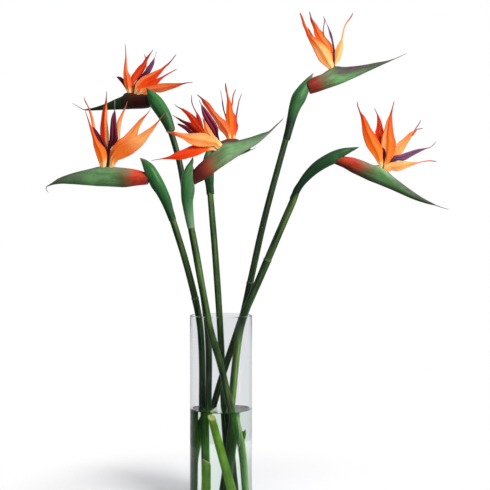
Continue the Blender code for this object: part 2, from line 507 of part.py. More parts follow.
def smooth_route(points, step):
    """Points about every step mm on a smooth curve through the given ones."""
    pts = [Vector(p) for p in points]
    pts = [pts[0] * 2 - pts[1]] + pts + [pts[-1] * 2 - pts[-2]]
    fine = []
    for p0, p1, p2, p3 in zip(pts, pts[1:], pts[2:], pts[3:]):
        d0, d1, d2 = (p1 - p0).length ** 0.5, (p2 - p1).length ** 0.5, (p3 - p2).length ** 0.5
        m1 = (p1 - p0) / d0 - (p2 - p0) / (d0 + d1) + (p2 - p1) / d1
        m2 = (p2 - p1) / d1 - (p3 - p1) / (d1 + d2) + (p3 - p2) / d2
        m1, m2 = m1 * d1, m2 * d1
        for k in range(24):
            t = k / 24
            fine.append(p1 * (2 * t**3 - 3 * t**2 + 1) + m1 * (t**3 - 2 * t**2 + t)
                        + p2 * (-2 * t**3 + 3 * t**2) + m2 * (t**3 - t**2))
    fine.append(pts[-2])
    travelled = [0.0]
    for a, b in zip(fine, fine[1:]):
        travelled.append(travelled[-1] + (b - a).length)
    count = max(4, round(travelled[-1] / step))
    out, i = [], 0
    for k in range(count + 1):
        want = travelled[-1] * k / count
        while i < len(fine) - 2 and travelled[i + 1] < want:
            i += 1
        f = (want - travelled[i]) / (travelled[i + 1] - travelled[i])
        out.append(fine[i].lerp(fine[i + 1], min(1.0, f)))
    return out


def tangents(points):
    out = []
    for i in range(len(points)):
        a, b = points[max(0, i - 1)], points[min(len(points) - 1, i + 1)]
        out.append((b - a).normalized())
    return out


def circle_rings(points, radii, sides, first_normal=None, last_normal=None):
    """Round sections square to a path, in metres; end planes can be given."""
    rings = []
    dirs = tangents(points)
    ref = Vector((0, 1, 0))
    for i, (p, d, r) in enumerate(zip(points, dirs, radii)):
        side = d.cross(ref).normalized()
        up = side.cross(d).normalized()
        ring = []
        for k in range(sides):
            a = 2 * math.pi * k / sides
            q = p + side * (r * math.cos(a)) + up * (r * math.sin(a))
            plane = first_normal if i == 0 else last_normal if i == len(points) - 1 else None
            if plane is not None:
                q = q + d * ((p - q).dot(plane) / d.dot(plane))
            ring.append(q * MM)
        rings.append(ring)
    return rings


def curve(table, x):
    """Smooth value at x from a table of points, with no overshoot."""
    if x <= table[0][0]:
        return table[0][1]
    if x >= table[-1][0]:
        return table[-1][1]
    i = max(k for k in range(len(table) - 1) if table[k][0] <= x)

    def rise(k):
        return (table[k + 1][1] - table[k][1]) / (table[k + 1][0] - table[k][0])

    def slope(k):
        if k == 0:
            return rise(0)
        if k == len(table) - 1:
            return rise(k - 1)
        a, b = rise(k - 1), rise(k)
        return 0.0 if a * b <= 0 else 2 * a * b / (a + b)

    h = table[i + 1][0] - table[i][0]
    s = (x - table[i][0]) / h
    return (table[i][1] * (2 * s**3 - 3 * s**2 + 1) + slope(i) * h * (s**3 - 2 * s**2 + s)
            + table[i + 1][1] * (3 * s**2 - 2 * s**3) + slope(i + 1) * h * (s**3 - s**2))


def seen_on(place, across, down):
    """Where a point seen from the front at (across, down) lies on a blade's plane.

    The plane is local X and Z of place; gives local x and z in mm.
    """
    back = place.inverted()
    eye = back @ Vector(EYE)
    ray = back.to_3x3() @ Vector((across - 245.0, 948.0, 240.0 - down))
    q = eye - ray * (eye.y / ray.y)
    return q.x, q.z


def seen_at(p):
    """Where a point in mm is seen from the front, across and down."""
    far = (p[1] - EYE[1]) / 948.0
    return 245.0 + (p[0] - EYE[0]) / far, 240.0 + (EYE[2] - p[2]) / far


def edge_along(path, normal, ups, points):
    """Distances along a path, and heights over it, of an edge seen from the front.

    The edge is taken to lie in the plane of the path, square to normal.
    """
    lengths = [0.0]
    for a, b in zip(path, path[1:]):
        lengths.append(lengths[-1] + (b - a).length)
    dirs = tangents(path)
    table = []
    for across, down in points:
        ray = Vector((across - 245.0, 948.0, 240.0 - down))
        eye = Vector(EYE)
        q = eye + ray * ((path[len(path) // 2] - eye).dot(normal) / ray.dot(normal))
        i = min(range(len(path)), key=lambda k: (path[k] - q).length)
        s = lengths[i] + (q - path[i]).dot(dirs[i])
        h = (q - path[i]).dot(ups[i])
        if not table or s > table[-1][0] + 0.4:
            table.append((s, h))
    return table


def plane_point(at, normal, seen):
    """The point of a plane that is seen from the front at seen."""
    ray = Vector((seen[0] - 245.0, 948.0, 240.0 - seen[1]))
    eye = Vector(EYE)
    return eye + ray * ((at - eye).dot(normal) / ray.dot(normal))


def on_path(path, distance):
    """Point and direction at a distance along a path, straight on past its end."""
    left = distance
    for a, b in zip(path, path[1:]):
        step = (b - a).length
        if left <= step:
            break
        left -= step
    else:
        a, b = path[-2], path[-1]
        left += (b - a).length
    d = (b - a).normalized()
    return a + d * left, d


# ------------------------------------------------------------------ the flower


def sheath_shape(t):
    """Width of the sheath over its greatest width, from ring (0) to tip (1)."""
    if t < 0.56:
        return 0.5 + 0.5 * math.sin(math.pi / 2 * t / 0.56)
    return max(0.0, math.cos(math.pi / 2 * (t - 0.56) / 0.44)) ** 0.8


class Flower:
    """Curves that a flower's stalk, neck, spathe and sheath share."""

    def __init__(self, key):
        spec = FLOWERS[key]
        self.key, self.radius = key, spec["radius"]
        self.route = smooth_route(spec["route"], STEM_STEP)
        self.ring = self.route[-1]
        self.up_stem = tangents(self.route)[-1]
        s_len, h0, h1, h2, yaw, self.height = spec["spathe"]
        self.length = s_len
        first = heading(h0, yaw)
        # the neck turns from the stalk's direction into the spathe's
        self.neck = [self.ring]
        if len(spec["neck"]) == 2:
            length, late = spec["neck"]
            steps = NECK_SECTIONS
            for k in range(steps):
                d = slerp(self.up_stem, first, ((k + 0.5) / steps) ** late)
                self.neck.append(self.neck[-1] + d * (length / steps))
        else:
            self.neck += [Vector(p) for p in spec["neck"]]
        # the spathe goes on from the neck
        self.axis, self.dirs = [self.neck[-1]], []
        n = 60
        for k in range(n):
            d = heading(blend3(h0, h1, h2, (k + 0.5) / n), yaw)
            self.dirs.append(d)
            self.axis.append(self.axis[-1] + d * (s_len / n))
        self.dirs.append(self.dirs[-1])
        self.sign = 1 if h0 > 0 else -1
        # the sheath starts with the neck and runs straighter
        sh_len, sh_head, sh_late, sh_lean, self.sheath_width = spec["sheath"]
        end = heading(sh_head, sh_lean)
        hood = [self.ring]
        for k in range(10):
            d = slerp(self.up_stem, end, ((k + 0.5) / 10) ** sh_late)
            hood.append(hood[-1] + d * (sh_len / 10))
        self.hood = smooth_route(hood, sh_len / 60)
        look = OUTLINES[key]
        # the spathe's upper and lower edge, measured from its axis
        ups, sides = [], []
        for k in range(61):
            p, d, up, side = self.spathe_frame(self.length * k / 60)
            ups.append(up)
            sides.append(side)
        self.top = edge_along(self.axis, sides[30], ups, look["top"])
        self.keel = edge_along(self.axis, sides[30], ups, look["keel"])
        self.reach = max(self.top[-1][0], self.keel[-1][0])
        self.thread = [plane_point(self.axis[30], sides[30], q) for q in look["thread"]]
        # the sheath's edges, measured from its middle line
        hdirs = tangents(self.hood)
        up0 = (Vector((0, 0, 1)) - self.dirs[0] * self.dirs[0].z).normalized()
        self.leaf_ups = [(up0 - d * up0.dot(d)).normalized() for d in hdirs]
        mid = len(self.hood) // 2
        normal = hdirs[mid].cross(self.leaf_ups[mid]).normalized()
        if abs(normal.y) > 0.6:
            edges = [edge_along(self.hood, normal, self.leaf_ups, look[k])
                     for k in ("outer", "inner")]
            edges.sort(key=lambda e: -sum(h for _, h in e))
            self.sheath_length = max(e[-1][0] for e in edges)
        else:
            # a sheath seen nearly edge on keeps its plain form
            self.sheath_length = sh_len
            edges = [[(sh_len * t, sign * self.sheath_width / 2 * sheath_shape(t))
                      for t in (k / 12 for k in range(13))] for sign in (1, -1)]
        self.leaf_high, self.leaf_low = edges

    def spathe_frame(self, distance):
        """Axis point, direction, upward normal and depth vector on the spathe."""
        f = max(0.0, min(0.9999, distance / self.length)) * 60
        i = int(f)
        p = self.axis[i].lerp(self.axis[i + 1], f - i)
        d = self.dirs[i].lerp(self.dirs[min(59, i + 1)], f - i).normalized()
        if distance > self.length:
            p = self.axis[-1] + d * (distance - self.length)
        up = (Vector((0, 0, 1)) - d * d.z).normalized()
        if abs(d.z) > 0.97:
            up = (Vector((-self.sign, 0, 0)) - d * (-self.sign * d.x)).normalized()
        return p, d, up, d.cross(up).normalized()

    def stalk_rings(self, grow=0.0):
        path = self.route + self.neck[1:]
        radii = []
        body = len(self.route)
        for i in range(len(path)):
            r = self.radius * (1.06 - 0.06 * min(1.0, i / body))
            if i >= body:
                r *= 1 + (STEM_FLARE - 1) * ((i - body + 1) / (len(self.neck) - 1))
            radii.append(r + grow)
        if grow:
            path = list(path)
            path[0] = path[0] - tangents(path)[0] * 3
            path[-1] = path[-1] + self.dirs[0] * grow
        return circle_rings(path, radii, STEM_SIDES, first_normal=Vector((0, 0, 1)),
                            last_normal=self.dirs[0])

    def spathe_rings(self, grow=0.0):
        rings = []
        for k in range(SPATHE_SECTIONS + 1):
            t = (k / SPATHE_SECTIONS) ** 1.05
            dist = t * self.reach + (GAP - grow if k == 0 else 0.0)
            p, d, up, side = self.spathe_frame(max(dist, 0.0))
            if k == 0:
                p = self.axis[0] + d * dist
            high, low = curve(self.top, dist), curve(self.keel, dist)
            p = p + up * ((high + low) / 2)
            h = max((high - low) / 2, THREAD) + grow
            w = max((high - low) / 2 * (0.58 + 0.28 * max(0.0, 1 - t / 0.3)), THREAD) + grow
            ring = []
            for i in range(SPATHE_SIDES):
                a = 2 * math.pi * i / SPATHE_SIDES
                wide = w * math.cos(a) * (1 + 0.14 * math.sin(a))
                ring.append((p + side * wide + up * (h * math.sin(a))) * MM)
            rings.append(ring)
        return rings, self.thread[-1] * MM

    def sheath_rings(self):
        rings = []
        for k in range(SHEATH_SECTIONS):
            t = k / SHEATH_SECTIONS
            s = self.sheath_length * t
            p, d = on_path(self.hood, s)
            up = self.leaf_ups[min(len(self.hood) - 1, round(t * (len(self.hood) - 1)))]
            up = (up - d * up.dot(d)).normalized()
            side = d.cross(up).normalized()
            high, low = curve(self.leaf_high, s), curve(self.leaf_low, s)
            half = max((high - low) / 2, 0.6)
            p = p + up * ((high + low) / 2)
            wide = half * 0.92
            if t < 0.62:
                wide = max(wide, self.radius + 1.5)
            ring = []
            for i in range(SHEATH_SIDES):
                a = 2 * math.pi * i / SHEATH_SIDES
                ring.append((p + side * (wide * math.cos(a)) + up * (half * math.sin(a))) * MM)
            rings.append(ring)
        p, d = on_path(self.hood, self.sheath_length)
        high = curve(self.leaf_high, self.sheath_length)
        low = curve(self.leaf_low, self.sheath_length)
        return rings, (p + up * ((high + low) / 2)) * MM


def edge_table(place, points, root):
    """Local z and x of a blade's edge, rising from below its foot to its tip."""
    table = []
    for across, down in points:
        x, z = seen_on(place, across, down)
        if not table and z > -1.0:
            table += [(z - 9.0, root), (z - 4.5, root + (x - root) * 0.65)]
        if not table or z > table[-1][0] + 0.25:
            table.append((z, x))
    return table


def blade_rings(place, edge_a, edge_b, kind, grow=0.0):
    """A blade along local +Z, broad in X and thin in Y, between its two edges."""
    tables = [edge_table(place, edge_a, -0.7), edge_table(place, edge_b, 0.7)]
    length = min(t[-1][0] for t in tables)
    thick = 2.4 if kind == "tongue" else 1.7
    rings = []
    for k in range(BLADE_SECTIONS):
        t = (k / BLADE_SECTIONS) ** 0.95
        xa, xb = curve(tables[0], length * t), curve(tables[1], length * t)
        half = max(abs(xb - xa) / 2, 0.45)
        # the feet crowd together inside the spathe
        half = min(half, 1.7 + 0.40 * length * t) + grow
        tall = thick * (1 - 0.55 * t) / 2 + grow
        cup = 0.0 if kind == "tongue" else 0.10 * half
        x0 = (xa + xb) / 2 * min(1.0, length * t / 8)
        z = length * t - (grow if k == 0 else 0.0)
        section = ((-1, 0), (-0.55, -0.8), (0, -1), (0.55, -0.8),
                   (1, 0), (0.55, 0.8), (0, 1), (-0.55, 0.8))
        if grow:
            section = ((-1, -0.45), (-0.55, -1), (0, -1), (0.55, -1), (1, -0.45),
                       (1, 0.45), (0.55, 1), (0, 1), (-0.55, 1), (-1, 0.45))
        ring = []
        for u, v in section:
            ring.append(Vector((x0 + u * half, v * tall - cup * (1 - u * u) * 2, z)) * MM)
        rings.append(ring)
    x0 = (curve(tables[0], length) + curve(tables[1], length)) / 2
    return rings, Vector((x0, 0, length + grow)) * MM


def foot_along(flower, across, down):
    """Distance along the spathe whose upper edge is seen nearest to a point."""
    best = None
    for k in range(10, 121):
        distance = flower.length * k / 160
        p, d, up, side = flower.spathe_frame(distance)
        x, y = seen_at(p + up * (curve(flower.top, distance) - SINK))
        off = (x - across) ** 2 + (y - down) ** 2
        if best is None or off < best[0]:
            best = (off, distance)
    return best[1]


def blade_place(flower, edge_a, edge_b, depth, lean):
    """A blade's foot in the spathe, and its turn towards its tip."""
    base = [(edge_a[0][i] + edge_b[0][i]) / 2 for i in (0, 1)]
    tip = [(edge_a[-1][i] + edge_b[-1][i]) / 2 for i in (0, 1)]
    along = foot_along(flower, *base)
    p, d, up, side = flower.spathe_frame(along)
    if side.y < 0:
        side = -side
    foot = p + up * (curve(flower.top, along) - SINK) + side * depth
    at = seen_at(foot)
    angle = math.atan2(tip[0] - at[0], at[1] - tip[1])
    turn = Matrix.Rotation(angle, 3, "Y") @ Matrix.Rotation(-math.radians(lean), 3, "X")
    return foot, turn


def build_flower(key):
    flower = Flower(key)
    crown = empty("flower_" + key, flower.ring * MM)

    bm = bmesh.new()
    skin(bm, flower.stalk_rings())
    stem = finish("stem_" + key, bm, "stem")
    bm = bmesh.new()
    skin(bm, flower.stalk_rings(grow=GAP))
    stem_cutter = finish("room_stem_" + key, bm, None)

    shift = Matrix.Translation(-flower.ring * MM)
    bm = bmesh.new()
    rings, tip = flower.spathe_rings()
    skin(bm, rings, tip)
    bm.transform(shift)
    spathe = finish("spathe_" + key, bm, "spathe", crown, flower.ring * MM)
    bm = bmesh.new()
    rings, tip = flower.spathe_rings(grow=GAP)
    skin(bm, rings, tip)
    bm.transform(shift)
    spathe_cutter = finish("room_spathe_" + key, bm, None, crown, flower.ring * MM)

    bm = bmesh.new()
    rings, tip = flower.sheath_rings()
    skin(bm, rings, tip)
    bm.transform(shift)
    sheath = finish("sheath_" + key, bm, "sheath", crown, flower.ring * MM)
    cut(sheath, [stem_cutter, spathe_cutter])

    feet = []
    for name, depth, lean, kind, edge_a, edge_b in BLADES[key]:
        foot, turn = blade_place(flower, edge_a, edge_b, depth, lean)
        place = Matrix.Translation(foot) @ turn.to_4x4()
        bm = bmesh.new()
        rings, tip = blade_rings(place, edge_a, edge_b, kind)
        skin(bm, rings, tip)
        finish(name.replace("_", "_" + key + "_", 1) if "_" in name else name + "_" + key,
               bm, kind, crown, foot * MM, turn)
        bm = bmesh.new()
        rings, tip = blade_rings(place, edge_a, edge_b, kind, grow=GAP + 0.2)
        skin(bm, rings[:4])
        feet.append(finish("room_" + name + "_" + key, bm, None, crown, foot * MM, turn))
    cut(spathe, feet)
    return stem_cutter


# -------------------------------------------------------------- vase and water
def turned(name, profile, sides, group):
    """Turn a closed profile of (radius, height) points about the upright axis."""
    bm = bmesh.new()
    loops = []
    for r, z in profile:
        if r < 1e-6:
            loops.append([bm.verts.new((0, 0, z * MM))])
            continue
        loops.append([bm.verts.new((r * MM * math.cos(2 * math.pi * k / sides),
                                    r * MM * math.sin(2 * math.pi * k / sides), z * MM))
                      for k in range(sides)])
    for low, high in zip(loops, loops[1:]):
        for i in range(sides):
            j = (i + 1) % sides
            if len(low) == 1:
                bm.faces.new((low[0], high[i], high[j]))
            elif len(high) == 1:
                bm.faces.new((low[i], high[0], low[j]))
            else:
                bm.faces.new((low[i], high[i], high[j], low[j]))
    return finish(name, bm, group)


def rounded(r, z, radius, start, end, steps=2):
    """Points on a quarter round about (r, z), from start to end degrees."""
    return [(r + radius * math.cos(math.radians(start + (end - start) * k / steps)),
             z + radius * math.sin(math.radians(start + (end - start) * k / steps)))
            for k in range(steps + 1)]


def build_vase():
    ro, ri = VASE_OD / 2, VASE_OD / 2 - VASE_WALL
    profile = [(0, 0)]
    profile += rounded(ro - RIM_ROUND, RIM_ROUND, RIM_ROUND, -90, 0)
    profile += rounded(ro - RIM_ROUND, VASE_H - RIM_ROUND, RIM_ROUND, 0, 90)
    profile += rounded(ri + RIM_ROUND, VASE_H - RIM_ROUND, RIM_ROUND, 90, 180)
    profile += [(ri, VASE_FLOOR), (0, VASE_FLOOR)]
    return turned("vase", profile, VASE_SIDES, "glass")


def build_stalk(name, foot, top, radius, slant, grow=0.0):
    """A short straight stalk with an upright-cut foot and a slanting cut top."""
    foot, top = Vector(foot), Vector(top)
    d = (top - foot).normalized()
    points = [foot.lerp(top, k / 5) for k in range(6)]
    if grow:
        points[0] = points[0] - d * 3
        points[-1] = points[-1] + d * grow
    slope = Vector((math.tan(math.radians(slant[0])), -math.tan(math.radians(slant[1])),
                    1)).normalized()
    bm = bmesh.new()
    skin(bm, circle_rings(points, [radius * (1 - 0.03 * k) + grow for k in range(6)], STEM_SIDES,
                          first_normal=Vector((0, 0, 1)), last_normal=slope))
    return finish(("room_" if grow else "") + name, bm, None if grow else "cut")


def build_water(cutters):
    r = VASE_OD / 2 - VASE_WALL - GAP
    water = turned("water", [(0, VASE_FLOOR + GAP), (r, VASE_FLOOR + GAP), (r, WATER_LEVEL),
                             (0, WATER_LEVEL)], WATER_SIDES, "water")
    cut(water, cutters)
    return water


def main():
    clear_scene()
    build_vase()
    cutters = [build_flower(key) for key in FLOWERS]
    for name, (foot, top, radius, slant) in CUT_STALKS.items():
        build_stalk(name, foot, top, radius, slant)
        cutters.append(build_stalk(name, foot, top, radius, slant, grow=GAP))
    build_water(cutters)


main()
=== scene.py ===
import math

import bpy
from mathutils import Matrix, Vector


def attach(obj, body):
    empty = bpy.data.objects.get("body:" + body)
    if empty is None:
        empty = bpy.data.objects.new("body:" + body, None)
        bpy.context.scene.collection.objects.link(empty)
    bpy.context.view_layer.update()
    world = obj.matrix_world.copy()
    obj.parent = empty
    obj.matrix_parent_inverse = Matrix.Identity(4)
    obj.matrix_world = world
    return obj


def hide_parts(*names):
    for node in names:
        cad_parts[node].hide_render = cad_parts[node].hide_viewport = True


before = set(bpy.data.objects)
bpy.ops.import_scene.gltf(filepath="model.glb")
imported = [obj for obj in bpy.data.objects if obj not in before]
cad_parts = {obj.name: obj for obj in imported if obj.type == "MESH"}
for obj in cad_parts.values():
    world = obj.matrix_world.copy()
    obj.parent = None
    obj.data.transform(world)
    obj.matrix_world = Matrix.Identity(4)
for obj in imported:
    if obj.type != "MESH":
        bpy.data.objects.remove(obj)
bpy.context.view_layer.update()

# The bird of paradise bouquet in its glass cylinder: six flowers, each with a
# stalk, a wrapped neck leaf, a folded boat-shaped bract, sepals and dark arrow
# petals, in a thick-based vase half full of water.  Sizes are in millimetres
# and degrees, in the frame of the CAD model, and become metres in Piece.make.

MM = 0.001

# ------------------------------------------------------------------ dimensions
VASE_OD = 100.0
VASE_H = 300.0
VASE_WALL = 3.5
VASE_FLOOR = 10.0
RIM_ROUND = 1.2
WATER_LEVEL = 149.0
TURNED_SIDES = 144

# Route of each stalk from its foot to the ring under its neck leaf; radius;
# neck length and how late it turns, or its points; bract length, heading at
# base, middle and tip, turn away from the viewer, height; neck leaf length,
# heading, how late it turns, lean away from the viewer, width.
FLOWERS = {
    "a": dict(
        route=[(-31.5, 12, 10.6), (-31.2, 10, 149), (-31.4, 6, 240),
               (-36, -6, 300), (-56, -22, 388), (-75, -36, 452)],
        radius=5.2, neck=(79, 4.1),
        spathe=(164, -85, -91, -113, 5, 31), sheath=(112, -44, 1.6, -6, 22)),
    "b": dict(
        route=[(-19, -12, 10.6), (-20.2, -2, 149), (-20.4, 12, 240),
               (-25.4, 24, 300), (-39.6, 38, 388), (-57.4, 52, 475), (-72, 62, 555),
               (-86.5, 68, 604)],
        radius=5.2, neck=(71, 1.9),
        spathe=(147, -83, -94, -91, 30, 26), sheath=(85, -41, 0.8, 8, 22)),
    "c": dict(
        route=[(34, -7, 10.6), (28, -11, 90), (14, -16, 160), (-2, -20, 230),
               (-15, -23, 273), (-24, -27, 318), (-37, -31, 389), (-46, -34, 440)],
        radius=5.4, neck=[(-47.2, -34.5, 453.4), (-49.2, -35.2, 466.8), (-50.4, -36, 479.3),
                          (-50.8, -36.8, 489.6), (-50, -37.6, 499), (-47.8, -38.3, 506.8),
                          (-44.2, -39, 512.5)],
        spathe=(170, 44, 66, 42, -6, 28), sheath=(113, 40, 8.0, -4, 22.5)),
    "d": dict(
        route=[(-31, 25, 10.6), (-25, 23, 95), (-13, 17, 149), (1.5, 12, 199),
               (24, 8, 266), (35, 6, 299), (48, 9, 356), (70, 18, 454), (106, 32, 587)],
        radius=5.2, neck=(98, 6.0),
        spathe=(165, 68, 73, 69, 5, 27.5), sheath=(120, 39, 2.3, 2, 21.5)),
    "e": dict(
        route=[(3, 19, 10.6), (16.5, 8, 149), (24.5, -2, 232), (31, -7, 278),
               (38, -10, 303), (61, -16, 357), (88, -24, 421), (115, -31, 484)],
        radius=5.8, neck=[(120, -32.2, 498.4), (127.5, -33.2, 510), (136.5, -34.2, 521.3),
                          (146.8, -35.1, 531.5), (157.8, -35.9, 539.8), (168.4, -36.6, 545.4),
                          (179.4, -37.2, 547.2)],
        spathe=(185, 111, 118, 112, -9, 26), sheath=(137, 85, 1.2, -3, 20.5)),
    "f": dict(
        route=[(10, 32, 10.6), (4, 27, 149), (2, 24.5, 199), (-3, 16, 299),
               (-9, 15, 388), (-18, 22, 495.5)],
        radius=5.2, neck=(71, 9.0),
        spathe=(124, 66, 80, 119, 52, 23), sheath=(80, 34, 6.0, 2, 19)),
}

# Nodes (healed leaf scars) on the stalks, by height, and how light green each stalk is: at its ring,
# in its middle, in the vase, and under water; in the vase this is painted light and shade, as the
# stalk looks through the glass. streak, where given, is where round the stalk its painted highlight
# runs.
STALK_LOOKS = {
    "a": dict(nodes=[328], ring=0.55, middle=0.13, glass=0.05, wet=0.50),
    "b": dict(nodes=[], ring=0.05, middle=0.05, glass=0.02, wet=0.50),
    "c": dict(nodes=[], ring=0.35, middle=0.34, glass=0.18, wet=0.80),
    "d": dict(nodes=[351], ring=0.20, middle=0.00, glass=0.03, wet=0.80),
    "e": dict(nodes=[389], ring=0.50, middle=0.09, glass=0.95, wet=0.30),
    "f": dict(nodes=[], ring=0.60, middle=0.20, glass=0.18, wet=0.06, streak=0.10),
}

# How dark each neck leaf is, how much darker its foot is (below zero, lighter: a painted highlight
# on the foot), and where it opens.
LEAF_LOOKS = {
    "a": dict(dark=0.14, foot=0.40, opens=0.66),
    "b": dict(dark=0.00, foot=0.30, opens=0.70),
    "c": dict(dark=0.05, foot=-0.48, opens=0.66),
    "d": dict(dark=0.34, foot=0.95, opens=0.68),
    "e": dict(dark=0.86, foot=0.14, opens=0.76),
    "f": dict(dark=0.45, foot=0.20, opens=0.66),
}

# How dark each bract is, all over (painted shade for those that stand in shade), on its underside
# (painted shade) and at its base, and how much lighter on its lower flank (painted light); its mauve
# upper edge: strength, the part of its length over which it grows, and the part of the flank it
# covers; and how far the scarlet reaches.
BRACT_LOOKS = {
    "a": dict(dark=0.00, under=0.16, base=0.00, light=0.24, mauve=0.60, grows=(0.26, 0.50),
              band=(0.64, 0.88), red=0.165),
    "b": dict(dark=0.93, under=0.00, base=0.00, light=0.00, mauve=0.20, grows=(0.30, 0.80),
              band=(0.70, 0.95), red=0.30),
    "c": dict(dark=0.06, under=0.00, base=0.85, light=0.45, mauve=0.95, grows=(0.30, 0.52),
              band=(0.66, 0.88), red=0.23),
    "d": dict(dark=0.05, under=0.15, base=0.46, light=0.12, mauve=1.00, grows=(0.26, 0.38),
              band=(0.32, 0.58), red=0.135),
    "e": dict(dark=0.02, under=0.72, base=0.16, light=0.00, mauve=0.85, grows=(0.40, 0.66),
              band=(0.46, 0.74), red=0.25),
    "f": dict(dark=0.82, under=0.00, base=0.00, light=0.00, mauve=0.35, grows=(0.05, 0.30),
              band=(0.50, 0.80), red=0.55),
}

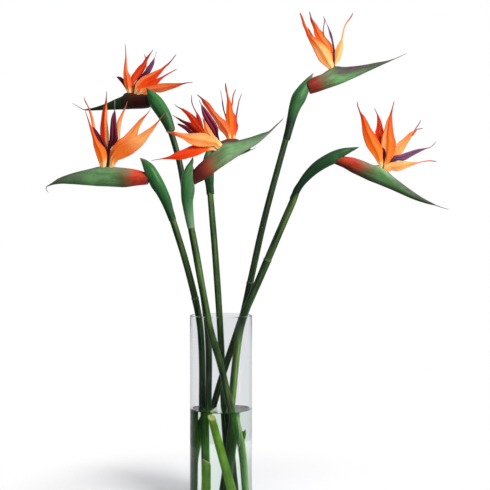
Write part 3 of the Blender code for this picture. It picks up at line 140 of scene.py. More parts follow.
# Sepals and arrow petals.  Each row: name, offset of the foot away from the
# viewer, lean away from the viewer, kind, the blade's two edges from foot to
# tip as they are seen from the front (across, down, in picture units that
# seen_on() turns into millimetres), and details.
BLADES = {
    "a": [
        ("sepal_1", -2.6, -8, "orange",
         [(101, 167), (98, 160), (96, 154), (93.7, 146.5), (92.2, 137), (90.2, 130),
          (88, 121), (85.6, 113), (84.9, 109)],
         [(106, 167), (107, 155), (105.8, 149.5), (101, 143.5), (97.3, 138.5), (94.6, 133),
          (92, 127.5), (89.2, 120.5), (86.3, 113), (85.3, 109)],
         dict(rim=.9, keel=-1)),
        ("sepal_2", 2.6, 10, "peach",
         [(100, 167), (97, 150), (93, 133), (90.5, 118), (88, 108), (85, 102), (83.4, 97)],
         [(105, 167), (101, 150), (97, 136), (95.2, 127), (93.6, 119), (90.9, 111),
          (86.6, 102.5), (83.9, 97)],
         dict(rim=.7)),
        ("sepal_3", 2.2, 3, "red",
         [(104, 167), (103.6, 155), (102.6, 146), (100.4, 138.5), (100, 130), (101, 119.5),
          (102.7, 109), (104.7, 103.5), (106, 96), (106.3, 91)],
         [(109, 167), (109, 155), (108.8, 145), (109, 136), (108.3, 128), (107.3, 119),
          (107.3, 108), (107, 101), (106.9, 96), (106.9, 91)],
         dict(lit_half=.25, rim=.5)),
        ("sepal_4", 2.6, 14, "peach",
         [(109, 167), (112, 155), (114.5, 140), (116.3, 128), (117.4, 121), (120.2, 115.5),
          (123.2, 110), (126, 104.5), (127.2, 101)],
         [(113, 167), (117, 152), (119.7, 139), (120.4, 131), (121.4, 122), (124, 113),
          (126.5, 106), (127.6, 101)],
         dict(rim=1, pale=.4)),
        ("sepal_5", 0.2, 8, "orange",
         [(107.8, 167), (108.4, 160), (109.2, 153), (112.2, 147.2), (118.4, 139.8),
          (123, 137), (128.8, 131.2),
          (134.7, 124.8), (140, 119), (145.4, 114.7), (149.2, 110.5), (150.8, 105)],
         [(113, 167), (120, 158), (130, 147), (137.5, 134.5), (138.4, 130.6), (141, 124.3),
          (144.2, 118.7), (149, 112), (151.2, 105)],
         dict(pale=.05, lift=.55, rim=.8)),
        ("sepal_6", -2.6, -8, "orange",
         [(109, 167), (111.5, 156), (117, 147), (125, 140.5), (132.5, 137), (137.7, 135.2),
          (142, 132.7), (147.7, 129), (153.3, 125), (158, 120.7), (161.8, 116), (164.8, 112.5)],
         [(114, 167), (116.3, 161.5), (121.4, 159.3), (127.4, 156.7), (133.3, 153.3),
          (137.4, 150), (142, 146), (146.7, 140), (150.2, 134.6), (154, 129.5), (158.8, 122),
          (165.3, 113)],
         dict(pale=.05, lift=.95, rim=.35)),
        ("tongue", -1.6, -2, "tongue",
         [(106.5, 168), (106.7, 158), (107.3, 149), (109.4, 138), (110, 128), (110.8, 120),
          (112.6, 113.6), (113.9, 111.4), (114.3, 109), (114.3, 99.4)],
         [(108.6, 168), (109.3, 157), (110.6, 149.5), (114.6, 144.3), (118, 139.6),
          (117.7, 133), (116.8, 125), (116.3, 118), (115.7, 112.7), (115, 109), (115.1, 99.4)],
         dict(blade=(.22, .83), extra=[
             (1.6, [(106.5, 163), (104.6, 152), (99, 143), (94.4, 133), (92.3, 126.5)],
              [(108.3, 163), (107, 149), (103.5, 140.5), (99.6, 134.5), (95.2, 128.6),
               (92.7, 126.5)])])),
    ],
    "b": [
        ("sepal_1", -2.2, -3, "red",
         [(128, 94), (126.7, 90.4), (125.4, 87.3), (123.8, 83), (123.4, 74), (123.8, 68),
          (124.4, 63), (125.1, 57.5), (125.3, 52), (125, 44)],
         [(131, 94), (131.6, 83), (130.4, 75.5), (128, 71.5), (127.2, 67), (126.9, 63),
          (126.6, 57.5), (126.2, 52), (125.5, 44)],
         dict(pale=.10, lift=.25, rim=.6)),
        ("sepal_2", 2.6, 11, "red",
         [(129, 94), (129.5, 84), (132, 74.5), (133.8, 72.4), (136, 69.3), (139.2, 65.6),
          (142.2, 63), (144.5, 59.6), (146.3, 57), (149.6, 53.6), (152.9, 49.6)],
         [(132.5, 94), (134, 84), (138.6, 78), (142, 74.4), (146.3, 67), (146.8, 64.6),
          (147.6, 60.4), (149.2, 57.2), (150.8, 54), (153.6, 49.8)],
         dict(rim=.7, extra=[
             (0, [(145, 62), (145.1, 59), (144.6, 56.6), (144, 54)],
              [(147, 62), (146.4, 58.4), (145.4, 56.2), (144.4, 54)])])),
        ("sepal_3", 2.4, 6, "red",
         [(133, 95), (133, 88), (134.4, 83.6), (138.4, 79), (143, 75.6), (147.6, 74),
          (151.7, 72.4), (157.4, 69.9), (161.2, 68.2), (164.4, 65.6), (168, 63), (171.2, 60),
          (173.8, 56.7), (176, 54.2)],
         [(139, 95), (147.4, 86.4), (155.4, 79.6), (158.5, 76.1), (160.9, 73.4), (163, 70.7),
          (165.5, 67.7), (169, 64.5), (172.1, 60.7), (174.5, 57.4), (176.6, 54.6)],
         dict(lit_half=-.2, rim=.8, lit_half_share=.3)),
        ("sepal_4", 0.0, 0, "red",
         [(136, 95), (139.5, 88.6), (144.2, 85.8), (149.6, 82.4), (154.8, 79.4),
          (159.5, 77.4), (162.7, 76), (166.4, 74), (170.6, 71.8), (173.8, 70.2), (177, 68.9)],
         [(140, 95), (150, 89.4), (156, 85.4), (159.4, 82), (161.3, 79.8), (164.4, 77),
          (168.6, 74.3), (173.4, 71.4), (177.2, 69.5)],
         dict(rim=.8)),
        ("sepal_5", -2.8, -8, "red",
         [(138, 94), (141, 88.8), (147.4, 86.8), (154.7, 85), (160, 83.4), (164.3, 83.1),
          (176.9, 83), (183.3, 82.8), (188.5, 82.1), (192.8, 82.1)],
         [(141, 97), (147, 95), (151, 93.2), (157, 92.4), (160.2, 92.7), (164.3, 91.6),
          (169.6, 89.8), (174.8, 88.2), (178.5, 86.6), (183.3, 84.4), (188.5, 83), (192.8, 82.7)],
         dict(pale=.20, lift=.10, rim=.7)),
        ("tongue_1", -1.4, 1, "tongue",
         [(132.5, 93), (134, 85), (138, 78.3), (141.2, 75.2), (143.8, 72), (145.5, 69.8),
          (146.8, 67), (148.4, 65.6), (150.7, 62.4), (152.8, 59.8), (154.4, 57.4), (156.3, 51)],
         [(134, 94), (136.2, 82.6), (139.7, 79), (143.4, 75.9), (147.6, 74), (150.6, 72.2),
          (151.8, 69.8), (153.4, 66.2), (154.4, 63), (154.8, 59.2), (155.2, 57.4), (157, 51.2)],
         dict(blade=(.3, .83), violet=.75)),
        ("tongue_2", 1.8, 4, "tongue",
         [(127.6, 93.5), (126.7, 91), (125, 88), (122, 83.6), (119, 80), (116.2, 77)],
         [(129.4, 93.5), (128, 91), (126, 85), (123.6, 79), (121, 77), (118.4, 76.4),
          (116.6, 76.4)],
         dict(blade=(.2, 1.2))),
    ],
    "c": [
        ("sepal_1", -4.4, -22, "orange",
         [(217.5, 149), (214, 146.3), (210, 146.7), (203.3, 146.8), (197.2, 146.4),
          (192.3, 145), (187.8, 142.7), (183.3, 139.4), (178.3, 137.1), (174.4, 135.4),
          (168.5, 133), (165.8, 131.9)],
         [(221.5, 143.5), (218.3, 140.4), (214, 137.8), (210, 135.9), (206, 133.8),
          (202.6, 133), (194.4, 133.1), (185.6, 133.4), (180, 132.7), (174, 131.6),
          (168.5, 131.6), (165.9, 131.3)],
         dict(pale=.45, rim=.45)),
        ("sepal_2", -3.4, -14, "red",
         [(216, 151), (212.3, 150.2), (205.2, 151.9), (201.7, 153.5), (196.7, 155.8),
          (190, 157.7), (183.3, 159.4), (178.9, 159.9), (173.3, 159.5), (166.7, 159.3),
          (159, 159.6), (151.4, 160.8)],
         [(217, 146), (211, 143), (201, 143), (191.2, 145.7), (185.6, 148.2), (180, 150.7),
          (174.5, 153), (170.6, 155.4), (165, 157.4), (159, 158.8), (151.4, 160.2)],
         dict(rim=.45)),
        ("sepal_3", 1.6, 4, "red",
         [(213, 146), (206, 139), (198, 131), (193, 126), (190, 121), (188.3, 118.2),
          (186.2, 115), (183.4, 112), (180.7, 109.4), (177.2, 107.2), (174, 104.2)],
         [(218, 144), (210, 137), (204, 129), (199, 121), (195.6, 117), (191.7, 113.8),
          (188.3, 111.3), (184.4, 109.1), (181.1, 107.8), (177.4, 106.2), (174.4, 103.8)],
         dict(rim=.6, hot=.35)),
        ("sepal_4", 3.4, 10, "crimson",
         [(215, 146), (208, 139), (202, 130), (198, 122), (196.1, 116.5), (196.2, 113.9),
          (194.4, 110.2), (192.8, 106.8), (191.3, 102.2), (191.2, 98.3), (191.4, 94.6)],
         [(219, 143), (213, 139), (207, 135), (204.1, 131), (203, 125.6), (201.7, 120.6),
          (200, 116.6), (197.8, 113.3), (195.8, 110.4), (193.9, 106.8), (192.5, 102.6),
          (192, 98.3), (191.9, 94.6)],
         dict(rim=.5, bright=1)),
        ("sepal_5", 4.4, 12, "crimson",
         [(213, 147), (204, 140), (193.3, 132.2), (187.8, 127.2), (183.9, 123.9),
          (181.1, 122), (177.8, 119.3), (174.6, 116.9), (171.9, 115.2)],
         [(217, 144), (206, 135), (196, 127), (190.6, 122.6), (187.8, 121.8),
          (183.3, 120.2), (179.4, 118.2), (174.6, 116), (172.2, 114.6)],
         dict(rim=.7)),
        ("sepal_6", -2.2, -14, "peach",
         [(217, 147), (211, 140), (206, 134.5), (204.4, 131), (203.6, 124.5), (202.3, 117.5)],
         [(220.4, 143), (217.4, 139), (213.8, 134.6), (209.8, 128), (206.2, 122.2),
          (203.9, 119), (202.7, 117.3)],
         dict(rim=.2, pale=.3)),
        ("tongue_1", 0.2, -8, "tongue",
         [(218.6, 144), (217.8, 139), (214.4, 135.6), (211.7, 131.2), (208.3, 126.2),
          (205, 120.7), (202.4, 115), (201.6, 111), (201, 107), (200.8, 104.6), (199.8, 102.6),
          (198.6, 99.6)],
         [(220.4, 142.6), (219, 137.3), (218.2, 133.3), (218.4, 130), (217.8, 126.6),
          (216.1, 123.2), (213.3, 119.3), (210, 114.2), (206.2, 109.2), (203.4, 106),
          (201.8, 104.4), (200.6, 102.4), (199.2, 99.2)],
         dict(blade=(.15, .84), bright=.45)),
        ("tongue_2", -0.8, -2, "tongue",
         [(215, 148), (200, 141), (188.4, 133.2), (184.5, 129.6), (181.1, 127.2),
          (178.4, 125.4), (177, 124.1)],
         [(217, 145), (203, 138), (192.3, 131.4), (188.9, 128.2), (185.6, 125.6),
          (182.2, 124.4), (179, 123.4), (177.1, 123.5)],
         dict(blade=(.2, 1.3))),
    ],
    "d": [
        ("sepal_1", -2.4, -6, "orange",
         [(328.5, 69), (326.5, 67.3), (323.4, 64.8), (320.4, 62.2), (318, 59), (315.5, 54),
          (312.8, 48), (310, 42.5), (307, 36.2), (304.8, 30), (302.9, 25.6), (301.6, 20.5),
          (300.4, 16.5), (299.4, 12.2)],
         [(334, 68), (334, 64.5), (332.8, 60.4), (332.3, 56), (331, 52.4), (329, 49.4),
          (326, 46), (322.5, 42.6), (319, 40), (315.5, 37.6), (312.4, 35), (309.4, 31.4),
          (306.2, 26), (303.8, 19.5), (301.6, 14.5), (300.2, 12.2)],
         dict(pale=.70, lift=-1, rim=1, extra=[
             (-.3, [(310, 40), (309.4, 36), (308.6, 31), (308, 28.4), (307, 26)],
              [(316, 40), (313.6, 36.4), (311.6, 33), (309.8, 30), (307.4, 26.4)])])),
        ("sepal_2", 2.4, 2, "orange",
         [(331, 68), (326, 55), (320, 45), (315.6, 37.6), (314.3, 34.5), (313.8, 31.5),
          (313, 27.5), (311.4, 23.6), (310.3, 20.2), (310, 17), (309.5, 14), (309, 11.2)],
         [(334.4, 68), (333.7, 60), (334, 53), (334.8, 49.4), (333, 46), (331, 43.3),
          (327, 38.8), (324.5, 35.6), (323, 32.6), (319.2, 28.8), (316.9, 24.8),
          (314, 21.3), (311.9, 18), (310.7, 14), (309.9, 11.2)],
         dict(pale=.10, rim=1, hot=.25, extra=[
             (0, [(322.4, 36), (322.6, 32), (323, 28), (323.8, 23), (324.2, 20), (323.1, 16.2)],
              [(324.6, 36), (323.8, 32), (324, 28), (324.8, 23), (325.2, 20),
               (323.7, 16.2)])])),
        ("sepal_3", 0.2, 2, "peach",
         [(333.8, 67), (333.2, 62), (333, 58.6), (333.7, 54.3), (335, 50), (337.4, 45),
          (339.2, 42.3), (340.9, 39), (341.9, 35), (342.8, 30.6), (343.8, 27), (345.4, 23.6),
          (347.9, 20), (350.8, 16), (352.8, 12.4)],
         [(335.8, 67), (336.8, 63.4), (338.2, 62.3), (340.2, 59.8), (341.4, 56), (342.4, 52),
          (343, 48), (343.3, 44), (343, 40), (343.4, 36), (344, 32), (344.9, 28),
          (346.6, 24), (348.7, 21), (351.6, 17.2), (353.5, 12.9)],
         dict(rim=.35, pale=.6)),
        ("tongue", -1.8, 0, "tongue",
         [(333.4, 67), (333.2, 58), (332.6, 49), (331.8, 43), (330.8, 39), (329.5, 35),
          (328.5, 30.5), (327.3, 26), (325.9, 23), (324.7, 18.6)],
         [(334.8, 67), (334.8, 58), (334.8, 49), (333.7, 43), (333, 39), (331.8, 34),
          (330, 30), (328.2, 26), (326.6, 23), (325.3, 18.6)],
         dict(blade=(.2, .85), bright=.3, violet=.85)),
    ],
    "e": [
        ("sepal_1", -2.6, -7, "orange",
         [(378.5, 165), (376.7, 161.5), (373.3, 156), (369.3, 150.8), (366, 145.5),
          (364.3, 141), (362.6, 134), (361.9, 127.3), (361.2, 121), (360.2, 115.4),
          (358.8, 111), (357.3, 106), (356.8, 101.4)],
         [(383.5, 167), (383.2, 158), (382.4, 148.6), (381, 145.2), (378.7, 140.5),
          (375.7, 135), (372.6, 131), (370, 126.6), (367, 120.6), (364, 115.6),
          (360.4, 111.2), (358.4, 106), (357.6, 101.4)],
         dict(rim=1)),
        ("sepal_2", 2.6, 9, "red",
         [(382, 166), (380, 150), (377, 140), (374.9, 132.7), (376, 129), (376.7, 124.6),
          (377, 120), (376.9, 115.6), (375.6, 111.7), (374, 108)],
         [(385.5, 166), (386.5, 150), (385.5, 140), (383.4, 130), (382, 124), (380.3, 118.7),
          (378.4, 115.3), (376.4, 111.4), (374.5, 108)],
         dict(hot=.6, rim=.25, bright=1)),
        ("sepal_3", 0.0, 1, "orange",
         [(383, 167), (382.6, 160), (381.6, 150), (381.2, 143.3), (382, 137), (383.7, 131.2),
          (385, 126.6), (386.4, 121.3), (388.9, 116), (391, 110.6), (392.8, 104.7),
          (393.8, 100.8)],
         [(387.5, 168), (390, 162), (393.2, 155.3), (395.2, 150), (396, 143.4), (395, 139.2),
          (393.7, 134), (392.8, 126.7), (392.4, 120.6), (392.3, 114), (392.9, 108.7),
          (393.8, 104.7), (394.6, 100.8)],
         dict(lit_half=-.35, rim=.9)),
        ("sepal_4", 2.8, 6, "orange",
         [(386, 168), (391, 157), (395.5, 147), (396.8, 143.8), (400.7, 140.5),
          (405.3, 136.6), (409.3, 132.8), (413.8, 130.4), (415.8, 127.4), (418, 124.4),
          (420.8, 119.8)],
         [(390, 168), (396, 159), (402.8, 152), (404.8, 148.6), (406.8, 144.6),
          (409.4, 140.6), (412, 136), (414.4, 131.8), (416.6, 128.4), (418.9, 124.8),
          (421.3, 120.2)],
         dict(pale=.45, rim=.6, extra=[
             (0, [(412, 134), (416.4, 129), (419.6, 128.4), (423.2, 127.9)],
              [(414, 134.6), (417, 130), (419.8, 129.4), (423.2, 128.5)])])),
        ("sepal_5", -2.6, -10, "orange",
         [(388, 172), (391.5, 170.6), (396.7, 171.2), (400.7, 170.5), (404.7, 168.8),
          (410, 166.7), (416.7, 163.8), (422, 162.2), (428.7, 161.4), (436.8, 161.8)],
         [(386, 165), (391.5, 162.4), (398, 161.2), (403.3, 161), (407.3, 161.6),
          (412.7, 161.9), (418, 162), (422.7, 160.9), (428.7, 160.3), (436.8, 161)],
         dict(pale=.75, rim=.3)),
        ("tongue", -0.4, -3, "tongue",
         [(392.6, 168), (394.8, 163.3), (396.8, 160.9), (399.4, 160.6), (403.3, 160.8),
          (406.8, 159.4), (410, 157.4), (414.7, 154.8), (420, 152), (426, 149.1),
          (430.2, 147.9), (433.6, 145.2), (436.3, 142)],
         [(389.4, 166), (390.2, 162.6), (392.5, 158.6), (393.8, 155.8), (400, 154.6),
          (404, 153.2), (408, 151.9), (412, 150.6), (416.7, 149.2), (423.3, 148.2),
          (427, 147.6), (430, 146.9), (433, 144.4), (435.9, 141.4)],
         dict(blade=(.16, .80), bright=1, violet=1, extra=[
             (-1.4, [(383.2, 163), (382.6, 158), (381.9, 153.4), (382, 149.4), (383, 146.6)],
              [(384.2, 163), (385.2, 158.7), (386.4, 154.6), (385.4, 150), (383.6, 146.6)])])),
    ],
    "f": [
        ("sepal_1", -2.4, -4, "orange",
         [(229, 141), (228.4, 134), (226.6, 124), (225.8, 117), (226.1, 111), (226.5, 105),
          (226.8, 98), (226.3, 94), (225.2, 89.5), (225, 82.8)],
         [(232.5, 141), (233.5, 127), (233.3, 115), (231.8, 105), (230.7, 101.2), (229.2, 98),
          (227.8, 93.4), (227, 89), (225.8, 82.8)],
         dict(hot=.35, rim=.3)),
        ("sepal_2", -1.8, -9, "red",
         [(228, 141), (226.3, 137.8), (224.4, 135), (222.5, 132.6), (220.7, 131.2),
          (218.8, 128.8), (217.8, 125.4), (215, 121), (212.1, 116.6), (209.2, 112.4),
          (206.4, 108.2), (204, 105.2), (202.4, 102.4), (201.4, 99.6), (196.6, 94.8)],
         [(231.5, 139), (230.5, 130), (228.5, 124), (226.4, 121.3), (223.5, 119.2),
          (221.1, 117.3), (217.8, 114), (214.5, 110.7), (212.2, 107), (209.7, 103.6),
          (206.4, 100.8), (203, 98.4), (196.9, 93.9)],
         dict(rim=.7, pale=.2)),
        ("sepal_3", -1.2, 2, "red",
         [(231, 141), (230, 126), (230.4, 115), (231.4, 106), (231.8, 101), (232.2, 98),
          (232.8, 94.8), (234.1, 91.8), (235.7, 88.8)],
         [(234.2, 141), (236, 132), (236.5, 126), (236.5, 119.5), (235.3, 115), (233.6, 112.4),
          (232.7, 109.5), (232.5, 106.5), (233, 103), (233.3, 99), (233.9, 95.2),
          (235, 92.2), (236.3, 89)],
         dict(rim=.5)),
        ("sepal_4", 2.2, 7, "crimson",
         [(232, 141), (233.5, 130), (235, 121), (235.6, 114.8), (236.3, 111.4), (237.2, 107),
          (238.5, 101.4), (240.3, 96.4), (241.4, 93.6)],
         [(234.5, 141), (236.8, 131.6), (237.8, 129.4), (238.2, 125.8), (237.3, 122.4),
          (237.2, 116.2), (237.7, 112.4), (238.4, 107.6), (239.3, 102.3), (240.9, 97),
          (241.9, 93.8)],
         dict(rim=.8, dull=1)),
        ("tongue", 3.4, 6, "tongue",
         [(228.6, 141), (227.6, 128), (225.6, 119), (224.4, 114.4), (223, 109.5),
          (222, 104), (221.7, 99), (221, 95), (220.3, 89.8)],
         [(230, 141), (229.4, 128), (227, 118.4), (225.8, 114.8), (224.6, 111),
          (223.8, 106.6), (222.8, 101), (221.7, 95), (220.9, 89.8)],
         dict(blade=(.2, .8), bright=.2, violet=.9)),
    ],
}
SINK = 3.0
EYE = (38.7, -1529.0, 421.0)      # where the edges above are seen from

# Upper and lower edge of each bract from its base to its tip, and the dry
# thread past the tip; outer and inner edge of each neck leaf from its ring to
# its tip.  All as seen from the front, in the same picture units.
OUTLINES = {
    "a": dict(
        top=[(153, 177), (145.3, 172.3), (132, 168.8), (116.7, 167.2), (101.4, 166.7),
             (87, 169.6), (70.8, 173.8), (58.6, 178.4), (50.4, 183.8), (46.6, 186)],
        keel=[(153, 182), (149, 184), (137, 185.4), (121.8, 187), (101.4, 186), (86, 185),
              (70.8, 184), (60, 183.8), (51.6, 185.2), (46.8, 186.9)],
        thread=[(46.2, 188.2), (46.7, 190.3), (48.5, 192.6)],
        outer=[(177, 219.5), (174.2, 210.6), (169.6, 195), (162, 179), (154.7, 167),
               (147.2, 160.4), (140, 157.5)],
        inner=[(169.2, 219.5), (164.4, 209), (157, 195), (151, 186.5), (148.4, 180),
               (144.8, 172), (142.4, 165), (139.8, 157.8)]),
    "b": dict(
        top=[(152, 98), (148.9, 95), (136, 94.2), (129, 92.8), (126, 93.6), (123, 96),
             (115, 99.5), (105, 104), (92, 108), (84, 109.4)],
        keel=[(152, 106), (149.6, 107.6), (140, 108.6), (124, 109.2), (109, 109.8),
              (96, 110.4), (90, 110.6), (84, 110.2)],
        thread=[(81, 108.4), (77, 105.9), (72.3, 103.1)],
        outer=[(176, 131.5), (174, 124), (169, 110), (162.7, 100), (155.8, 93),
               (151, 90), (146.4, 87.6)],
        inner=[(166.6, 131.5), (158.6, 118), (151.4, 107.8), (149.2, 101), (148, 95),
               (146.2, 88)]),
    "c": dict(
        top=[(190, 176), (194.6, 169), (203.6, 160), (212.5, 152), (218, 147.7),
             (223, 143.4), (234.8, 141.2), (248, 138), (261.6, 133.4), (270, 130.2),
             (276, 124.8), (280.6, 120.8)],
        keel=[(192, 186), (196.5, 183.6), (207, 178), (221.4, 167), (235.7, 157.5),
              (243.8, 152), (257, 144), (265, 137.4), (271, 131.8), (276.4, 126.2),
              (280.8, 121.4)],
        thread=[(282, 119.8), (283.4, 117.6)],
        outer=[(187.8, 229.5), (184.4, 215), (182, 203), (180.9, 187), (181.6, 177.5),
               (184.6, 169.6), (188.2, 163.4), (192.4, 156.8)],
        inner=[(194.8, 229.5), (193.6, 215), (192.9, 203), (194.6, 189), (193.8, 178),
               (193.2, 170), (193, 163), (192.8, 156.8)]),
    "d": dict(
        top=[(305, 82), (310, 78.6), (320, 75), (327, 70.7), (332.5, 67.2), (346, 67),
             (364, 65), (377, 62.5), (389, 60.2), (394.6, 58.4)],
        keel=[(305, 95), (310, 94), (320, 91), (337, 85), (350.4, 79.5), (368, 71.4),
              (386, 63.2), (394.8, 59.2)],
        thread=[(399, 57), (403, 55), (406.6, 53.6)],
        outer=[(281.6, 141.5), (283.7, 134), (287, 118), (289.3, 105.7), (292.3, 95.5),
               (298.6, 86.6), (305.7, 79.3), (313, 73.4)],
        inner=[(289.6, 141.5), (291, 136), (294.6, 124), (297.7, 115), (301.2, 107.6),
               (305.2, 101), (307.8, 93.5), (310.4, 83), (313.2, 73.8)]),
    "e": dict(
        top=[(334, 154), (344, 156.3), (354.8, 158), (364.8, 161.5), (373, 165),
             (379, 165.6), (384.7, 168.8), (390.5, 174.4), (399, 181), (411, 190),
             (423.7, 198.4), (436, 204.8)],
        keel=[(328, 161), (335, 164), (343, 167.4), (353, 173), (365.6, 179), (378, 184),
              (394.6, 191), (411, 198.4), (425, 203.2), (436, 205.8)],
        thread=[(441, 207.2), (448.5, 209.4)],
        outer=[(289.6, 195.5), (295.5, 186), (303.4, 173.7), (313, 163.2), (322.5, 156.5),
               (332, 151.5), (341.7, 148.4), (350, 147.4), (358.8, 146.9)],
        inner=[(297.8, 195.5), (303, 187), (311, 178.7), (322.5, 170), (328.3, 166.8),
               (334.8, 163.6), (340.7, 158.6), (347, 154.7), (353, 151), (359, 147.5)]),
    "f": dict(
        top=[(206, 151), (214, 145), (222, 141), (229, 138.8), (236, 139.2), (243, 143),
             (248, 147.2), (251, 149.4)],
        keel=[(208, 158), (216, 158.6), (226, 158), (236, 156.4), (243, 154), (248, 151.8),
              (251, 150.2)],
        thread=[(253.5, 149), (256.3, 147.4)],
        outer=[(207, 195.5), (205.4, 180), (204.6, 167), (205.2, 157), (210, 145)],
        inner=[(213.3, 195.5), (212.8, 185), (212, 170), (212, 160), (212.6, 152),
               (211.4, 145)]),
}

CUT_STALKS = {
    "cut_stalk_1": ((17, -11, 10.4), (-12, -17, 139), 6.2, (6, 40)),
    "cut_stalk_2": ((-21, -26, 10.4), (-20, -26, 71), 7.6, (32, 0)),
}


# --------------------------------------------------------------------- helpers
def slerp(a, b, t):
    angle = a.angle(b)
    if angle < 1e-6:
        return a.copy()
    s = math.sin(angle)
    return (a * (math.sin((1 - t) * angle) / s) + b * (math.sin(t * angle) / s)).normalized()


def heading(theta, yaw):
    t, y = math.radians(theta), math.radians(yaw)
    return Vector((math.sin(t) * math.cos(y), abs(math.sin(t)) * math.sin(y), math.cos(t)))


def blend3(a, b, c, t):
    return a * (1 - t) * (1 - 2 * t) + b * 4 * t * (1 - t) + c * t * (2 * t - 1)


def ease(a, b, x):
    """0 below a and 1 above b, smoothly; falls instead where b is under a."""
    t = min(1.0, max(0.0, (x - a) / (b - a)))
    return t * t * (3 - 2 * t)


def curve(table, x):
    """Smooth value at x from a table of points, with no overshoot."""
    if x <= table[0][0]:
        return table[0][1]
    if x >= table[-1][0]:
        return table[-1][1]
    i = max(k for k in range(len(table) - 1) if table[k][0] <= x)

    def rise(k):
        return (table[k + 1][1] - table[k][1]) / (table[k + 1][0] - table[k][0])

    def slope(k):
        if k == 0:
            return rise(0)
        if k == len(table) - 1:
            return rise(k - 1)
        a, b = rise(k - 1), rise(k)
        return 0.0 if a * b <= 0 else 2 * a * b / (a + b)

    h = table[i + 1][0] - table[i][0]
    s = (x - table[i][0]) / h
    return (table[i][1] * (2 * s**3 - 3 * s**2 + 1) + slope(i) * h * (s**3 - 2 * s**2 + s)
            + table[i + 1][1] * (3 * s**2 - 2 * s**3) + slope(i + 1) * h * (s**3 - s**2))


def chance(*seeds):
    """A repeatable value from 0 to 1."""
    v = 0.0
    for k, s in enumerate(seeds):
        v += s * (12.9898 + 65.2 * k)
    return (math.sin(v) * 43758.5453) % 1.0


def wave(x, seed):
    """A slow repeatable wobble from -1 to 1."""
    return (math.sin(x * 1.0 + seed * 1.7) + 0.6 * math.sin(x * 2.3 + seed * 4.1)
            + 0.3 * math.sin(x * 5.1 + seed * 9.2)) / 1.9


def smooth_route(points, step):
    pts = [Vector(p) for p in points]
    pts = [pts[0] * 2 - pts[1]] + pts + [pts[-1] * 2 - pts[-2]]
    fine = []
    for p0, p1, p2, p3 in zip(pts, pts[1:], pts[2:], pts[3:]):
        d0, d1, d2 = (p1 - p0).length ** 0.5, (p2 - p1).length ** 0.5, (p3 - p2).length ** 0.5
        m1 = (p1 - p0) / d0 - (p2 - p0) / (d0 + d1) + (p2 - p1) / d1
        m2 = (p2 - p1) / d1 - (p3 - p1) / (d1 + d2) + (p3 - p2) / d2
        m1, m2 = m1 * d1, m2 * d1
        for k in range(24):
            t = k / 24
            fine.append(p1 * (2 * t**3 - 3 * t**2 + 1) + m1 * (t**3 - 2 * t**2 + t)
                        + p2 * (-2 * t**3 + 3 * t**2) + m2 * (t**3 - t**2))
    fine.append(pts[-2])
    travelled = [0.0]
    for a, b in zip(fine, fine[1:]):
        travelled.append(travelled[-1] + (b - a).length)
    count = max(4, round(travelled[-1] / step))
    out, i = [], 0
    for k in range(count + 1):
        want = travelled[-1] * k / count
        while i < len(fine) - 2 and travelled[i + 1] < want:
            i += 1
        f = (want - travelled[i]) / (travelled[i + 1] - travelled[i])
        out.append(fine[i].lerp(fine[i + 1], min(1.0, f)))
    return out


def tangents(points):
    out = []
    for i in range(len(points)):
        a, b = points[max(0, i - 1)], points[min(len(points) - 1, i + 1)]
        out.append((b - a).normalized())
    return out


class Piece:
    """One piece's vertices and faces, with what its material reads at each vertex.

    along runs from a part's base to its tip, across from side to side, tone and mark are the
    material's own, and grain is a place on the surface in mm. On stalks, leaves, bracts and sepals
    tone also holds painted light and shade.
    """

    def __init__(self, name):
        self.name = name
        self.co, self.faces = [], []
        self.along, self.across, self.tone, self.mark, self.grain = [], [], [], [], []

    def vert(self, p, along=0.0, across=0.0, tone=0.0, mark=0.0, grain=(0, 0, 0)):
        self.co.append(Vector(p))
        self.along.append(along)
        self.across.append(across)
        self.tone.append(tone)
        self.mark.append(mark)
        self.grain.append(tuple(grain))
        return len(self.co) - 1

    def band(self, low, high):
        n = len(low)
        for i in range(n):
            j = (i + 1) % n
            self.faces.append((low[i], low[j], high[j], high[i]))

    def fan(self, ring, centre, flip=False):
        n = len(ring)
        for i in range(n):
            j = (i + 1) % n
            self.faces.append((ring[j], ring[i], centre) if flip else (ring[i], ring[j], centre))

    def skin(self, rings):
        for low, high in zip(rings, rings[1:]):
            self.band(low, high)

    def close(self, ring, flip=False, **values):
        """Close a ring with a fan about its middle."""
        middle = Vector((0, 0, 0))
        for i in ring:
            middle += self.co[i]
        i = ring[0]
        kept = dict(along=self.along[i], across=0.0, tone=self.tone[i], mark=self.mark[i],
                    grain=self.grain[i])
        kept.update(values)
        self.fan(ring, self.vert(middle / len(ring), **kept), flip)

    def make(self, material, nodes, sharp=42.0, wet=None):
        mesh = bpy.data.meshes.new(self.name)
        mesh.from_pydata([tuple(p * MM) for p in self.co], [], self.faces)
        for label in ("along", "across", "tone", "mark"):
            layer = mesh.attributes.new(label, "FLOAT", "POINT")
            layer.data.foreach_set("value", getattr(self, label))
        layer = mesh.attributes.new("grain", "FLOAT_VECTOR", "POINT")
        layer.data.foreach_set("vector", [v for g in self.grain for v in g])
        mesh.shade_smooth()
        mesh.set_sharp_from_angle(angle=math.radians(sharp))
        mesh.materials.append(material)
        if wet:
            # what is under water has hardly any sheen
            mesh.materials.append(wet)
            for face in mesh.polygons:
                if face.center.z < WATER_LEVEL * MM:
                    face.material_index = 1
        obj = bpy.data.objects.new(self.name, mesh)
        bpy.context.scene.collection.objects.link(obj)
        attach(obj, "root")
        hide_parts(*nodes)
        return obj


